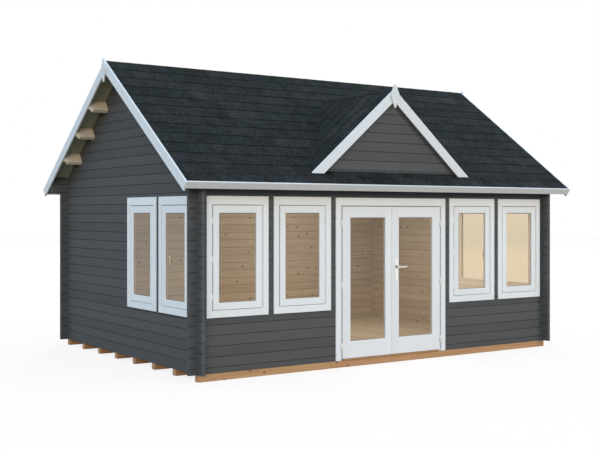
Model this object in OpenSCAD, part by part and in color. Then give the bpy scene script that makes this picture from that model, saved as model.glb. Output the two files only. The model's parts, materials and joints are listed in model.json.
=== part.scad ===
// Garden house of interlocking wall logs, with a double glazed door, a false
// front dormer and a shingled gable roof. Front faces -Y, +Z is up, and the
// origin lies on the ground under the middle of the house. Millimetres.

/* [Log walls] */
// Outside width of the walls, left to right
wall_w = 5324; // [5240:2:6200]
// Outside depth of the walls, front to back
wall_d = 3772; // [3700:2:4600]
// Thickness of a wall log
log_t = 44; // [36:1:60]
// Height that each log adds to a wall
log_h = 114; // [100:1:140]
// Height that the lowest log shows more than the others, having none to lap
log_lap = 8; // [0:1:12]
// Length of a log end past the crossing wall
log_end = 100; // [60:1:140]
// Depth of the chamfer along each log joint
log_groove = 4; // [2:0.5:6]
// Height of the front wall's outer face, bearers to roof boards
eave_h = 2183; // [2100:1:2400]

/* [Base] */
// Height of a bearer under the house
bearer_h = 80; // [50:1:100]
// Width of a bearer
bearer_w = 75; // [45:1:100]
// Number of bearers
bearer_count = 8; // [5:1:10]
// Distance from the wall face to a bearer's end
bearer_inset = 12; // [0:1:20]
// Thickness of the floor boards
floor_t = 20; // [16:1:28]

/* [Roof] */
// Slope of the main roof in degrees
roof_pitch = 35.57; // [30:0.01:40]
// Thickness of the roof boards
roof_board_t = 18; // [16:1:24]
// Thickness of the shingle covering
shingle_t = 6; // [4:1:10]
// Reach of the eaves past the wall face
eave_reach = 232; // [180:1:320]
// Reach of the gable ends past the wall face
gable_reach = 253; // [180:1:320]
// Width of a bargeboard, square to the slope
barge_w = 115; // [100:1:160]
// Thickness of bargeboards and eave fascias
barge_t = 20; // [16:1:28]
// Depth of an eave fascia, square to the slope
fascia_h = 84; // [60:1:110]
// Thickness of a purlin
purlin_t = 56; // [44:1:70]
// Depth of a purlin, square to the slope
purlin_h = 145; // [100:1:190]
// Purlins on each slope, besides the ridge
purlin_count = 3; // [2:1:3]
// Distance down the slope from the ridge to the first purlin
purlin_first = 684; // [500:1:720]
// Distance from one purlin to the next
purlin_step = 531; // [400:1:560]
// Height of the bevel at the lower corner of a purlin's end
purlin_bevel = 54; // [20:1:90]
// Length of that bevel along the purlin
purlin_bevel_run = 38; // [20:1:90]

/* [Dormer] */
// Half width of the dormer at the roof surface
dormer_half_w = 1217; // [900:1:1400]
// Slope of the dormer roof in degrees
dormer_pitch = 40.7; // [36:0.1:44]
// Distance from the dormer wall to the back of its bargeboards
dormer_reach = 28; // [4:1:40]
// Height that each board adds to the dormer wall
dormer_board_h = 114; // [90:1:140]

/* [Finials] */
// Width of a lozenge finial
finial_w = 140; // [100:1:180]
// Height of a lozenge finial
finial_h = 290; // [220:1:360]
// Distance from a finial's tip down to its widest point
finial_shoulder = 132; // [100:1:180]
// Height of a gable finial's tip over the bargeboards
finial_rise = 30; // [20:1:80]
// Height of the dormer finial's tip over its bargeboards
dormer_finial_rise = 55; // [20:1:80]
// Width of a finial's blunt tips
finial_tip = 16; // [4:1:40]
// Thickness of a finial
finial_t = 18; // [12:1:24]

/* [Windows and frames] */
// Thickness of the outer casing boards
casing_t = 16; // [12:1:28]
// Thickness of the inner casing boards
inner_casing_t = 16; // [12:1:22]
// Width of a casing board at a side
casing_w = 68; // [50:1:100]
// Width of the casing board over an opening
casing_top_w = 94; // [70:1:120]
// Width of the casing board under a window
casing_low_w = 76; // [60:1:110]
// Strip of the lining that shows beside a window's casing
casing_set = 13; // [2:1:24]
// Strip of the lining that shows over and under a window's casing
casing_set_end = 4; // [2:1:24]
// Thickness of the lining that passes through the wall
lining_t = 34; // [28:1:44]
// Step of the stop that a sash or door closes against
stop_w = 12; // [8:1:18]
// Thickness of a window sash or a door leaf
leaf_t = 40; // [34:1:50]
// Distance that a sash or leaf stands out of the wall face
leaf_proud = 10; // [4:1:14]
// Clear width inside a window's lining
window_w = 620; // [480:1:700]
// Clear height inside a window's lining
window_h = 1133; // [900:1:1150]
// Height of the sill line over the bearers
window_sill = 678; // [400:1:900]
// Width of a sash's stiles and bottom rail
sash_w = 74; // [60:1:100]
// Height of a sash's top rail
sash_top_w = 84; // [60:1:110]
// Gap round a sash in its lining
sash_gap = 3.5; // [2:0.5:5]
// Gap between neighbouring casings
casing_gap = 72; // [40:1:120]
// Distance from the front wall face to the first side casing
side_window_inset = 117; // [80:1:400]
// Thickness of a glass unit
glass_t = 14; // [4:1:20]
// Depth that the glass reaches into its stiles and rails
glass_seat = 10; // [6:1:14]

/* [Door] */
// Clear width between the door jambs
door_w = 1512; // [1300:2:1900]
// Clear height from the bearers to the head
door_h = 1807; // [1700:1:2100]
// Strip of the lining that shows beside the door
door_casing_set = 25; // [20:1:32]
// Strip of the lining that shows over the door
door_head_set = 4; // [2:1:24]
// Thickness of the threshold board
threshold_t = 14; // [10:1:24]
// Gap round each moving leaf
door_gap = 6; // [5:0.5:8]
// Gap between the two leaves where they meet
meeting_gap = 8; // [7:0.5:10]
// Distance that the leaves meet left of the door's middle
meeting_shift = 12; // [0:1:20]
// Width of a leaf's outer stile
stile_w = 113; // [90:1:150]
// Width of the right leaf's stile where the leaves meet
meeting_stile_w = 106; // [90:1:130]
// Height of a leaf's bottom rail
bottom_rail_h = 194; // [150:1:240]
// Height of a leaf's top rail
top_rail_h = 128; // [90:1:150]
// Radius of a hinge knuckle
knuckle_r = 8; // [6:0.5:10]
// Radius of a hinge pin
pin_r = 4; // [3:0.5:5]
// Length of one hinge knuckle
knuckle_h = 42; // [30:1:60]
// Hinges on each leaf
hinge_count = 3; // [2:1:3]
// Distance from a leaf's bottom to its lowest hinge
hinge_low = 138; // [90:1:260]
// Distance from a leaf's top to its highest hinge
hinge_high = 201; // [90:1:260]
// Gap between a hinge knuckle and the lining behind it
knuckle_stand = 3; // [2:0.5:5]
// Thickness of the lug that carries a knuckle
lug_t = 4; // [3:0.5:6]

/* [Handle] */
// Height of the handle's pivot over the bearers
handle_z = 1074; // [950:1:1150]
// Distance from the right leaf's meeting edge to the handle's pivot
handle_inset = 65; // [50:1:80]
// Width of a handle plate
plate_w = 36; // [34:1:50]
// Length of a handle plate
plate_h = 260; // [220:1:290]
// Thickness of a handle plate
plate_t = 7; // [5:1:9]
// Distance from the pivot up to the plate's top end
plate_top = 104; // [90:1:120]
// Radius of the lever's spindle
spindle_r = 7; // [5:0.5:8]
// Radius of the lever bar
lever_r = 8.5; // [8:0.5:11]
// Length of the lever from its pivot
lever_l = 122; // [100:1:140]
// Distance from a plate to the middle of the lever bar
lever_reach = 44; // [36:1:52]
// Distance from the pivot down to the lock barrel
lock_drop = 92; // [70:1:110]
// Radius of the lock barrel
lock_r = 9; // [7:0.5:11]

/* [Hidden] */
$fn = 48;

// Clearance between pieces that fit into each other
fit = 0.4;
// Clearance round a turning pin or spindle, and where pieces meet on a slope
running = 0.05;
// Overrun of a cutter past the face it cuts
over = 5;
// Part of a log that is cut from its top and from its underside where walls cross
notch = log_h / 4;

wall_grey = [0.29, 0.31, 0.33];
trim_white = [0.90, 0.91, 0.92];
pine = [0.76, 0.62, 0.45];
bearer_brown = [0.70, 0.50, 0.32];
shingle_black = [0.15, 0.17, 0.18];
glass_tint = [0.55, 0.60, 0.62, 0.4];
steel = [0.70, 0.71, 0.72];
plate_cream = [0.86, 0.84, 0.78];

half_w = wall_w / 2;
half_d = wall_d / 2;
base_z = bearer_h;

// Frames across the front, from the middle of the door to the corner
window_outer_w = window_w + 2 * (casing_set + casing_w);
door_casing_half = door_w / 2 + door_casing_set + casing_w;
window_pitch = window_outer_w + casing_gap;
front_window_x = [for (i = [0, 1]) door_casing_half + casing_gap + window_outer_w / 2 + i * window_pitch];
side_window_y = [for (i = [0, 1]) -half_d + side_window_inset + window_outer_w / 2 + i * window_pitch];

// Roof surfaces, counted square to the slope from the underside of the boards
roof_top_n = roof_board_t + shingle_t;
ridge_under_z = base_z + eave_h + half_d * tan(roof_pitch);
fascia_out_u = (half_d + eave_reach - roof_top_n * sin(roof_pitch)) / cos(roof_pitch);
fascia_in_u = fascia_out_u - barge_t;
barge_out_x = half_w + gable_reach;
barge_in_x = barge_out_x - barge_t;
inner_roof_x = barge_in_x - fit;
ridge_top_z = ridge_under_z + roof_top_n / cos(roof_pitch);

// Log courses: side walls start with a whole log, front and back walls with a half log
first_front_joint = log_h / 2 + log_lap;
side_courses = ceil((ridge_under_z - base_z) / log_h);
front_courses = ceil((eave_h + log_t * tan(roof_pitch)) / log_h);
long_log_z = base_z + first_front_joint + log_h * (floor((eave_h - first_front_joint) / log_h) - 1);
header_z = base_z + first_front_joint + log_h * floor((door_h + lining_t - first_front_joint) / log_h);

// Openings in the walls, outside the linings
door_cut_half = door_w / 2 + lining_t + fit;
window_cut = lining_t + fit;

// Depth places of a frame: a window's count inwards from its wall's outer face
sash_face = -leaf_proud;
sash_stop = sash_face + leaf_t;
casing_face_y = -half_d - casing_t;
leaf_face_y = -half_d - leaf_proud;
leaf_back_y = leaf_face_y + leaf_t;
door_stop_y = leaf_back_y + door_gap;
frame_back_y = -half_d + log_t + inner_casing_t;

// Door leaves
leaf_edge_x = door_w / 2 - door_gap;
leaf_bottom_z = base_z + threshold_t + door_gap;
leaf_top_z = base_z + door_h - door_gap;
right_leaf_x = meeting_gap / 2 - meeting_shift;
left_leaf_x = meeting_gap / 2 + meeting_shift;
left_meeting_stile_w = meeting_stile_w - meeting_shift;
hinge_x = (leaf_edge_x + door_w / 2 + door_casing_set) / 2;
hinge_y = -half_d - knuckle_r - knuckle_stand;
hinge_span = leaf_top_z - hinge_high - leaf_bottom_z - hinge_low;
hinge_zs = [for (i = [0 : hinge_count - 1])
  leaf_bottom_z + hinge_low + i * hinge_span / (hinge_count - 1)];

// Handle
handle_x = right_leaf_x + handle_inset;
pivot_z = base_z + handle_z;

// Dormer
dormer_wall_y = -half_d;
dormer_barge_y = dormer_wall_y - dormer_reach;
dormer_face_y = dormer_barge_y - barge_t;
dormer_top_z = roof_top_z(dormer_face_y) + dormer_half_w * tan(dormer_pitch);
dormer_under_z = dormer_top_z - roof_top_n / cos(dormer_pitch);
dormer_side_u = (dormer_half_w + 2 * barge_w) / cos(dormer_pitch);

// Height of the finished roof surface, and of the boards' underside, at a place y
function roof_top_z(y) = ridge_top_z + running - abs(y) * tan(roof_pitch);
function roof_under_z(y) = ridge_under_z - running - abs(y) * tan(roof_pitch);

// Point on the front slope, u down the slope from the ridge and n square to it
function slope_point(u, n) = [
  -(u * cos(roof_pitch) + n * sin(roof_pitch)),
  ridge_under_z - u * sin(roof_pitch) + n * cos(roof_pitch)
];
// Distance u at which a layer n meets the opposite slope
function ridge_mitre(n) = -n * tan(roof_pitch);

// Point on the dormer's left slope, n counted up from its finished surface
function dormer_point(u, n) = [
  -(u * cos(dormer_pitch) + n * sin(dormer_pitch)),
  dormer_top_z - u * sin(dormer_pitch) + n * cos(dormer_pitch)
];
function dormer_mitre(n) = -n * tan(dormer_pitch);

// Extrudes an outline drawn in Y and Z along X, between x0 and x1
module along_x(x0, x1) {
  translate([x0, 0, 0]) rotate([90, 0, 90]) linear_extrude(x1 - x0) children();
}

// Extrudes an outline drawn in X and Z along Y, between y0 and y1
module along_y(y0, y1) {
  translate([0, y1, 0]) rotate([90, 0, 0]) linear_extrude(y1 - y0) children();
}

module both_sides() {
  children();
  mirror([1, 0, 0]) children();
}

module front_and_back() {
  children();
  mirror([0, 1, 0]) children();
}

module block(low, high) {
  translate(low) cube(high - low);
}

// Wall section with a chamfered joint between logs: outer face at 0, tops may differ
module log_section(z0, z_outer, z_inner, joints, chamfer_bottom, chamfer_top) {
  g = log_groove;
  inside = [for (z = joints) if (z > z0 + g && z < min(z_outer, z_inner) - g) z];
  last = len(inside) - 1;
  bottom_g = chamfer_bottom ? g : 0;
  top_g = chamfer_top ? g : 0;
  polygon(concat(
    [[bottom_g, z0], [0, z0 + bottom_g]],
    [for (z = inside) each [[0, z - g], [g, z], [0, z + g]]],
    [[0, z_outer - top_g], [top_g, z_outer], [log_t - top_g, z_inner], [log_t, z_inner - top_g]],
    [for (i = [last : -1 : 0]) each [
      [log_t, inside[i] + g], [log_t - g, inside[i]], [log_t, inside[i] - g]]],
    [[log_t, z0 + bottom_g], [log_t - bottom_g, z0]]
  ));
}

function front_joints() = [for (k = [0 : front_courses]) base_z + first_front_joint + k * log_h];
function side_joints() = [for (k = [1 : side_courses]) base_z + log_lap + k * log_h];

// Notches that let the side walls' logs through a front or back wall
module notches_for_side_logs(y0) {
  both_sides() for (k = [0 : front_courses]) {
    z = base_z + log_lap + k * log_h;
    block([half_w - log_t - fit, y0 - over, z + notch - fit],
      [half_w + fit, y0 + log_t + over, z + log_h - notch + fit]);
  }
}

// Notches that let the front and back walls' logs through a side wall
module notches_for_front_logs(x0) {
  front_and_back() for (k = [0 : front_courses]) {
    z = base_z + log_lap + k * log_h;
    block([x0 - over, half_d - log_t - fit, z - notch - fit],
      [x0 + log_t + over, half_d + fit, z + notch + fit]);
  }
}

module window_hole() {
  block([-window_w / 2 - window_cut, -over, base_z + window_sill - window_cut],
    [window_w / 2 + window_cut, log_t + over, base_z + window_sill + window_h + window_cut]);
}

module at_front_windows() {
  both_sides() for (x = front_window_x) translate([x, -half_d, 0]) children();
}

module at_left_windows() {
  for (y = side_window_y) translate([-half_w, y, 0]) rotate([0, 0, -90]) children();
}

// Base

module bearers() {
  step = (wall_d - bearer_w) / (bearer_count - 1);
  color(bearer_brown) for (i = [0 : bearer_count - 1])
    block([-half_w + bearer_inset, -half_d + i * step, 0],
      [half_w - bearer_inset, -half_d + i * step + bearer_w, bearer_h]);
}

module floor_boards() {
  color(pine) block([-half_w + log_t + fit, -half_d + log_t + fit, base_z],
    [half_w - log_t - fit, half_d - log_t - fit, base_z + floor_t]);
}

// Walls

module front_wall_side() {
  difference() {
    translate([0, -half_d, 0]) along_x(-half_w - log_end, -door_cut_half)
      log_section(base_z, header_z, header_z, front_joints(), false, true);
    at_front_windows() window_hole();
    notches_for_side_logs(-half_d);
  }
}

module front_wall_left() {
  color(wall_grey) front_wall_side();
}

module front_wall_right() {
  color(wall_grey) mirror([1, 0, 0]) front_wall_side();
}

// Shortens the logs below the two long eave logs to the corner's log ends
module short_log_ends(z0) {
  both_sides() block([half_w + log_end, -half_d - over, z0 - over],
    [barge_out_x + over, -half_d + log_t + over, long_log_z]);
}

module front_wall_header() {
  color(wall_grey) difference() {
    translate([0, -half_d, 0]) along_x(-inner_roof_x, inner_roof_x)
      log_section(header_z, roof_under_z(half_d), roof_under_z(half_d - log_t), front_joints(), true, false);
    short_log_ends(header_z);
    at_front_windows() window_hole();
    block([-door_cut_half, -half_d - over, header_z - over],
      [door_cut_half, -half_d + log_t + over, base_z + door_h + lining_t + fit]);
    notches_for_side_logs(-half_d);
  }
}

module back_wall() {
  color(wall_grey) mirror([0, 1, 0]) difference() {
    translate([0, -half_d, 0]) along_x(-inner_roof_x, inner_roof_x)
      log_section(base_z, roof_under_z(half_d), roof_under_z(half_d - log_t), front_joints(), false, false);
    short_log_ends(base_z);
    notches_for_side_logs(-half_d);
  }
}

module gable_outline() {
  reach = half_d + log_end;
  polygon([[-reach, base_z], [reach, base_z], [reach, roof_under_z(reach)], [0, roof_under_z(0)],
    [-reach, roof_under_z(reach)]]);
}

// Slots through a gable wall for the purlins that carry the roof
module purlin_slots(x0) {
  along_x(x0 - over, x0 + log_t + over) offset_ridge_outline(fit);
  front_and_back() for (i = [0 : purlin_count - 1]) {
    u = purlin_first + i * purlin_step;
    along_x(x0 - over, x0 + log_t + over) polygon([
      slope_point(u - fit, over), slope_point(u + purlin_t + fit, over),
      slope_point(u + purlin_t + fit, -purlin_h - fit), slope_point(u - fit, -purlin_h - fit)]);
  }
}

// Section of the ridge purlin, grown by a clearance
module offset_ridge_outline(gap) {
  half = purlin_t / 2 + gap;
  low = ridge_under_z - purlin_h - purlin_t / 2 - gap;
  side = roof_under_z(half);
  polygon([[-half, low], [half, low], [half, side], [0, roof_under_z(0) + gap], [-half, side]]);
}

module gable_wall() {
  reach = half_d + log_end + over;
  difference() {
    intersection() {
      rotate([0, 0, 90]) mirror([0, 1, 0]) translate([0, -half_w, 0]) along_x(-reach, reach)
        log_section(base_z, ridge_under_z + over, ridge_under_z + over, side_joints(), false, false);
      along_x(-half_w - over, half_w) gable_outline();
    }
    at_left_windows() window_hole();
    purlin_slots(-half_w);
    notches_for_front_logs(-half_w);
  }
}

module left_gable_wall() {
  color(wall_grey) gable_wall();
}

module right_gable_wall() {
  color(wall_grey) mirror([1, 0, 0]) gable_wall();
}

// Roof

module purlin_side(depth) {
  x = inner_roof_x;
  run = purlin_bevel_run;
  polygon([[-x, 0], [x, 0], [x, purlin_bevel - depth], [x - run, -depth],
    [-x + run, -depth], [-x, purlin_bevel - depth]]);
}

module ridge_purlin() {
  color(pine) intersection() {
    along_x(-inner_roof_x, inner_roof_x) offset_ridge_outline(0);
    translate([0, 0, ridge_under_z]) along_y(-purlin_t, purlin_t) purlin_side(purlin_h + purlin_t / 2);
  }
}

module slope_purlins() {
  color(pine) translate([0, 0, roof_under_z(0)]) rotate([roof_pitch, 0, 0])
    for (i = [0 : purlin_count - 1]) {
      u = purlin_first + i * purlin_step;
      along_y(-u - purlin_t, -u) purlin_side(purlin_h);
    }
}

module front_purlins() {
  slope_purlins();
}

module back_purlins() {
  mirror([0, 1, 0]) slope_purlins();
}

// Layer of the front slope from the ridge down to u, between heights n0 and n1
module slope_layer(n0, n1, u) {
  polygon([slope_point(ridge_mitre(n0), n0), slope_point(u, n0), slope_point(u, n1),
    slope_point(ridge_mitre(n1), n1)]);
}

module roof_boards() {
  color(pine) along_x(-inner_roof_x, inner_roof_x) slope_layer(0, roof_board_t, fascia_in_u);
}

module front_roof_boards() {
  roof_boards();
}

module back_roof_boards() {
  mirror([0, 1, 0]) roof_boards();
}

module shingles() {
  color(shingle_black) along_x(-inner_roof_x, inner_roof_x)
    slope_layer(roof_board_t, roof_top_n, fascia_in_u);
}

module front_shingles() {
  shingles();
}

module back_shingles() {
  mirror([0, 1, 0]) shingles();
}

module fascia() {
  n0 = roof_top_n - fascia_h;
  color(trim_white) along_x(-inner_roof_x, inner_roof_x) polygon([
    slope_point(fascia_in_u, n0), slope_point(fascia_out_u, n0),
    slope_point(fascia_out_u, roof_top_n), slope_point(fascia_in_u, roof_top_n)]);
}

module front_fascia() {
  fascia();
}

module back_fascia() {
  mirror([0, 1, 0]) fascia();
}

module gable_bargeboards() {
  color(trim_white) front_and_back() translate([0, -fit / 2, 0])
    along_x(-barge_out_x, -barge_in_x) slope_layer(roof_top_n - barge_w, roof_top_n, fascia_out_u);
}

module left_bargeboards() {
  gable_bargeboards();
}

module right_bargeboards() {
  mirror([1, 0, 0]) gable_bargeboards();
}

// Lozenge with its tip at a height z
module lozenge(z) {
  tip = finial_tip / 2;
  polygon([[-tip, z], [tip, z], [finial_w / 2, z - finial_shoulder], [tip, z - finial_h],
    [-tip, z - finial_h], [-finial_w / 2, z - finial_shoulder]]);
}

module left_finial() {
  color(trim_white) along_x(-barge_out_x - finial_t, -barge_out_x) lozenge(ridge_top_z + finial_rise);
}

module right_finial() {
  mirror([1, 0, 0]) left_finial();
}

// Dormer

// All that lies under the finished main roof on the front side
module under_main_roof() {
  reach = half_d + eave_reach;
  along_x(-barge_out_x, barge_out_x)
    polygon([[over, 0], [-reach, 0], [-reach, roof_top_z(reach)], [0, roof_top_z(0)], [over, roof_top_z(0)]]);
}

module dormer_wall() {
  half = (dormer_under_z - roof_under_z(half_d)) / tan(dormer_pitch);
  low = roof_under_z(half_d);
  joints = [for (z = [base_z + first_front_joint : dormer_board_h : dormer_under_z]) z];
  color(wall_grey) difference() {
    intersection() {
      translate([0, dormer_wall_y, 0]) along_x(-half, half)
        log_section(low, dormer_under_z + over, dormer_under_z + over, joints, false, false);
      along_y(dormer_wall_y - over, dormer_wall_y + log_t + over)
        polygon([[-half, low], [half, low], [0, dormer_under_z]]);
    }
    under_main_roof();
  }
}

// Layer of the dormer's slopes, cut off where it meets the main roof
module dormer_layer(y0, y1, n0, n1) {
  difference() {
    both_sides() translate([-fit / 2, 0, 0]) along_y(y0, y1) polygon([
      dormer_point(dormer_mitre(n0), n0), dormer_point(dormer_side_u, n0),
      dormer_point(dormer_side_u, n1), dormer_point(dormer_mitre(n1), n1)]);
    under_main_roof();
  }
}

module dormer_roof_boards() {
  color(pine) dormer_layer(dormer_barge_y, 0, -roof_top_n, -shingle_t);
}

module dormer_shingles() {
  color(shingle_black) dormer_layer(dormer_barge_y, 0, -shingle_t, 0);
}

module dormer_bargeboards() {
  color(trim_white) dormer_layer(dormer_face_y, dormer_barge_y, -barge_w, 0);
}

module dormer_finial() {
  color(trim_white) along_y(dormer_face_y - finial_t, dormer_face_y)
    lozenge(dormer_top_z + dormer_finial_rise);
}

// Windows, drawn about their middle line with the wall's outer face at y = 0

// Ring of casing boards between depths y0 and y1, its opening grown by the set-backs
module window_casing(y0, y1, set_side, set_end) {
  x = window_w / 2;
  z0 = base_z + window_sill;
  z1 = z0 + window_h;
  difference() {
    block([-x - casing_set - casing_w, y0, z0 - casing_set_end - casing_low_w],
      [x + casing_set + casing_w, y1, z1 + casing_set_end + casing_top_w]);
    block([-x - set_side, y0 - over, z0 - set_end], [x + set_side, y1 + over, z1 + set_end]);
  }
}

module window_frame() {
  z0 = base_z + window_sill;
  z1 = z0 + window_h;
  x = window_w / 2;
  color(trim_white) {
    window_casing(-casing_t, 0, casing_set, casing_set_end);
    difference() {
      block([-x - lining_t, 0, z0 - lining_t], [x + lining_t, log_t, z1 + lining_t]);
      block([-x, -over, z0], [x, sash_stop, z1]);
      block([-x + stop_w, -over, z0 + stop_w], [x - stop_w, log_t + over, z1 - stop_w]);
    }
    window_casing(log_t, log_t + inner_casing_t, -stop_w, -stop_w);
  }
}

// Pane with a clearance added all round
module window_pane(gap) {
  x = window_w / 2 - sash_w + glass_seat + gap;
  middle = (sash_face + sash_stop) / 2;
  block([-x, middle - glass_t / 2 - gap, base_z + window_sill + sash_w - glass_seat - gap],
    [x, middle + glass_t / 2 + gap, base_z + window_sill + window_h - sash_top_w + glass_seat + gap]);
}

module window_sash() {
  z0 = base_z + window_sill;
  z1 = z0 + window_h;
  x = window_w / 2;
  color(trim_white) difference() {
    block([-x + sash_gap, sash_face, z0 + sash_gap], [x - sash_gap, sash_stop, z1 - sash_gap]);
    block([-x + sash_w, sash_face - over, z0 + sash_w], [x - sash_w, sash_stop + over, z1 - sash_top_w]);
    window_pane(fit);
  }
}

module window_glass() {
  color(glass_tint) window_pane(0);
}

module front_window_frames() { at_front_windows() window_frame(); }
module left_window_frames() { at_left_windows() window_frame(); }
module right_window_frames() { mirror([1, 0, 0]) left_window_frames(); }
module front_window_sashes() { at_front_windows() window_sash(); }
module left_window_sashes() { at_left_windows() window_sash(); }
module right_window_sashes() { mirror([1, 0, 0]) left_window_sashes(); }
module front_window_glass() { at_front_windows() window_glass(); }
module left_window_glass() { at_left_windows() window_glass(); }
module right_window_glass() { mirror([1, 0, 0]) left_window_glass(); }

// Door

// Section of a jamb that grips the log ends, from the opening outwards
module jamb_section() {
  wall_y = -half_d;
  casing = door_casing_set + casing_w;
  polygon([[0, wall_y], [door_casing_set, wall_y], [door_casing_set, casing_face_y], [casing, casing_face_y],
    [casing, wall_y], [lining_t, wall_y], [lining_t, wall_y + log_t], [casing, wall_y + log_t],
    [casing, frame_back_y], [-stop_w, frame_back_y], [-stop_w, door_stop_y], [0, door_stop_y]]);
}

module door_jamb() {
  inner = door_w / 2 + door_casing_set;
  difference() {
    translate([door_w / 2, 0, base_z]) linear_extrude(door_h - fit) jamb_section();
    block([door_w / 2 - stop_w - over, -half_d + log_t, base_z - over],
      [door_casing_half + over, frame_back_y + over, base_z + floor_t + fit]);
  }
  block([inner, casing_face_y, base_z + door_h - over],
    [inner + casing_w, -half_d, base_z + door_h + door_head_set - fit]);
}

module door_head() {
  z0 = base_z + door_h;
  z1 = z0 + door_head_set + casing_top_w;
  lining_x = door_w / 2 + door_casing_set - fit;
  stop_x = door_w / 2 - stop_w - fit;
  block([-door_casing_half, casing_face_y, z0 + door_head_set], [door_casing_half, -half_d, z1]);
  block([-lining_x, -half_d, z0], [lining_x, -half_d + log_t, z0 + lining_t]);
  block([-door_casing_half, -half_d + log_t, z0], [door_casing_half, frame_back_y, z1]);
  block([-stop_x, door_stop_y, z0 - stop_w], [stop_x, frame_back_y, z0 + over]);
}

module door_threshold() {
  reach = door_w / 2 - stop_w - fit;
  block([-reach, casing_face_y, base_z], [reach, -half_d + log_t, base_z + threshold_t]);
}

module door_frame() {
  color(trim_white) {
    both_sides() door_jamb();
    door_head();
    door_threshold();
  }
}

// Fixed half of a hinge: lower knuckle with its pin, on a lug that stands on the lining
module hinge_fixed(z) {
  translate([hinge_x, hinge_y, z - knuckle_h]) cylinder(r = knuckle_r, h = knuckle_h);
  translate([hinge_x, hinge_y, z - knuckle_h]) cylinder(r = pin_r, h = 2 * knuckle_h - over);
  block([hinge_x - lug_t / 2, hinge_y, z - knuckle_h], [hinge_x + lug_t / 2, -half_d, z]);
}

module door_hinges() {
  color(steel) both_sides() for (z = hinge_zs) hinge_fixed(z);
}

// Moving half of a hinge: upper knuckle with its bore, on a lug from the leaf's edge
module hinge_moving(z) {
  difference() {
    union() {
      translate([hinge_x, hinge_y, z + fit]) cylinder(r = knuckle_r, h = knuckle_h);
      block([leaf_edge_x - over, leaf_face_y, z + fit], [hinge_x, leaf_face_y + lug_t, z + knuckle_h]);
    }
    translate([hinge_x, hinge_y, z - over]) cylinder(r = pin_r + running, h = knuckle_h + over);
  }
}

// Pane of a leaf on the right side, with a clearance added all round
module door_pane(inner_x, inner_stile_w, gap) {
  middle = (leaf_face_y + leaf_back_y) / 2;
  block([inner_x + inner_stile_w - glass_seat - gap, middle - glass_t / 2 - gap,
      leaf_bottom_z + bottom_rail_h - glass_seat - gap],
    [leaf_edge_x - stile_w + glass_seat + gap, middle + glass_t / 2 + gap,
      leaf_top_z - top_rail_h + glass_seat + gap]);
}

// Leaf on the right side, from its meeting edge to its hinges
module door_leaf(inner_x, inner_stile_w) {
  difference() {
    block([inner_x, leaf_face_y, leaf_bottom_z], [leaf_edge_x, leaf_back_y, leaf_top_z]);
    block([inner_x + inner_stile_w, leaf_face_y - over, leaf_bottom_z + bottom_rail_h],
      [leaf_edge_x - stile_w, leaf_back_y + over, leaf_top_z - top_rail_h]);
    door_pane(inner_x, inner_stile_w, fit);
  }
  for (z = hinge_zs) hinge_moving(z);
}

module left_door() {
  color(trim_white) mirror([1, 0, 0]) door_leaf(left_leaf_x, left_meeting_stile_w);
}

module right_door() {
  color(trim_white) difference() {
    door_leaf(right_leaf_x, meeting_stile_w);
    spindle_hole();
  }
}

module left_door_glass() {
  color(glass_tint) mirror([1, 0, 0]) door_pane(left_leaf_x, left_meeting_stile_w, 0);
}

module right_door_glass() {
  color(glass_tint) door_pane(right_leaf_x, meeting_stile_w, 0);
}

// Handle

module at_pivot(y) {
  translate([handle_x, y, pivot_z]) rotate([90, 0, 0]) children();
}

module spindle_hole() {
  at_pivot(leaf_back_y + 2 * plate_t) cylinder(r = spindle_r + running, h = leaf_t + 4 * plate_t);
}

// Plate with round ends and a lock barrel, lying on a face at y and reaching to the front
module handle_plate() {
  end_r = plate_w / 2;
  linear_extrude(plate_t) {
    translate([-end_r, plate_top - plate_h + end_r]) square([plate_w, plate_h - plate_w]);
    for (z = [plate_top - end_r, plate_top - plate_h + end_r]) translate([0, z]) circle(end_r);
  }
  translate([0, -lock_drop, 0]) cylinder(r = lock_r, h = plate_t + 4);
}

module handle_plates() {
  color(plate_cream) difference() {
    union() {
      at_pivot(leaf_face_y) handle_plate();
      at_pivot(leaf_back_y) mirror([0, 0, 1]) handle_plate();
    }
    spindle_hole();
  }
}

// Lever bar with a ball at the elbow, reaching out from a plate
module lever_arm() {
  cylinder(r = lever_r, h = lever_reach);
  translate([0, 0, lever_reach]) sphere(lever_r);
  translate([0, 0, lever_reach]) rotate([0, 90, 0]) cylinder(r = lever_r, h = lever_l);
  translate([lever_l, 0, lever_reach]) sphere(lever_r);
}

module door_lever() {
  clear = plate_t + 0.3;
  color(steel) {
    at_pivot(leaf_back_y + clear + over) cylinder(r = spindle_r, h = leaf_t + 2 * (clear + over));
    at_pivot(leaf_face_y - clear) lever_arm();
    at_pivot(leaf_back_y + clear) mirror([0, 0, 1]) lever_arm();
  }
}

bearers();
floor_boards();  // floor
front_wall_left();
front_wall_right();
front_wall_header();
back_wall();
left_gable_wall();
right_gable_wall();
ridge_purlin();
front_purlins();
back_purlins();
front_roof_boards();
back_roof_boards();
front_shingles();
back_shingles();
front_fascia();
back_fascia();
left_bargeboards();
right_bargeboards();
left_finial();
right_finial();
dormer_wall();
dormer_roof_boards();
dormer_shingles();
dormer_bargeboards();
dormer_finial();
front_window_frames();
left_window_frames();
right_window_frames();
front_window_sashes();
left_window_sashes();
right_window_sashes();
front_window_glass();
left_window_glass();
right_window_glass();
door_frame();
door_hinges();
left_door();
right_door();
left_door_glass();
right_door_glass();
handle_plates();
door_lever();
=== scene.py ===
# %% [markdown]
# # A garden house of interlocking logs
# The house comes as a set of exact solids: walls, roof, frames, doors. This lesson dresses them.
# Some solids stay and only get a finish. Others are stood in for by finer pieces, board by board.
# Everything is in metres. The front faces -Y, +Z is up, and the ground is at Z = 0.

# %% Load the solids
import json
import math
import random
from itertools import product

import bmesh
import bpy
from mathutils import Matrix, Vector


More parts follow.
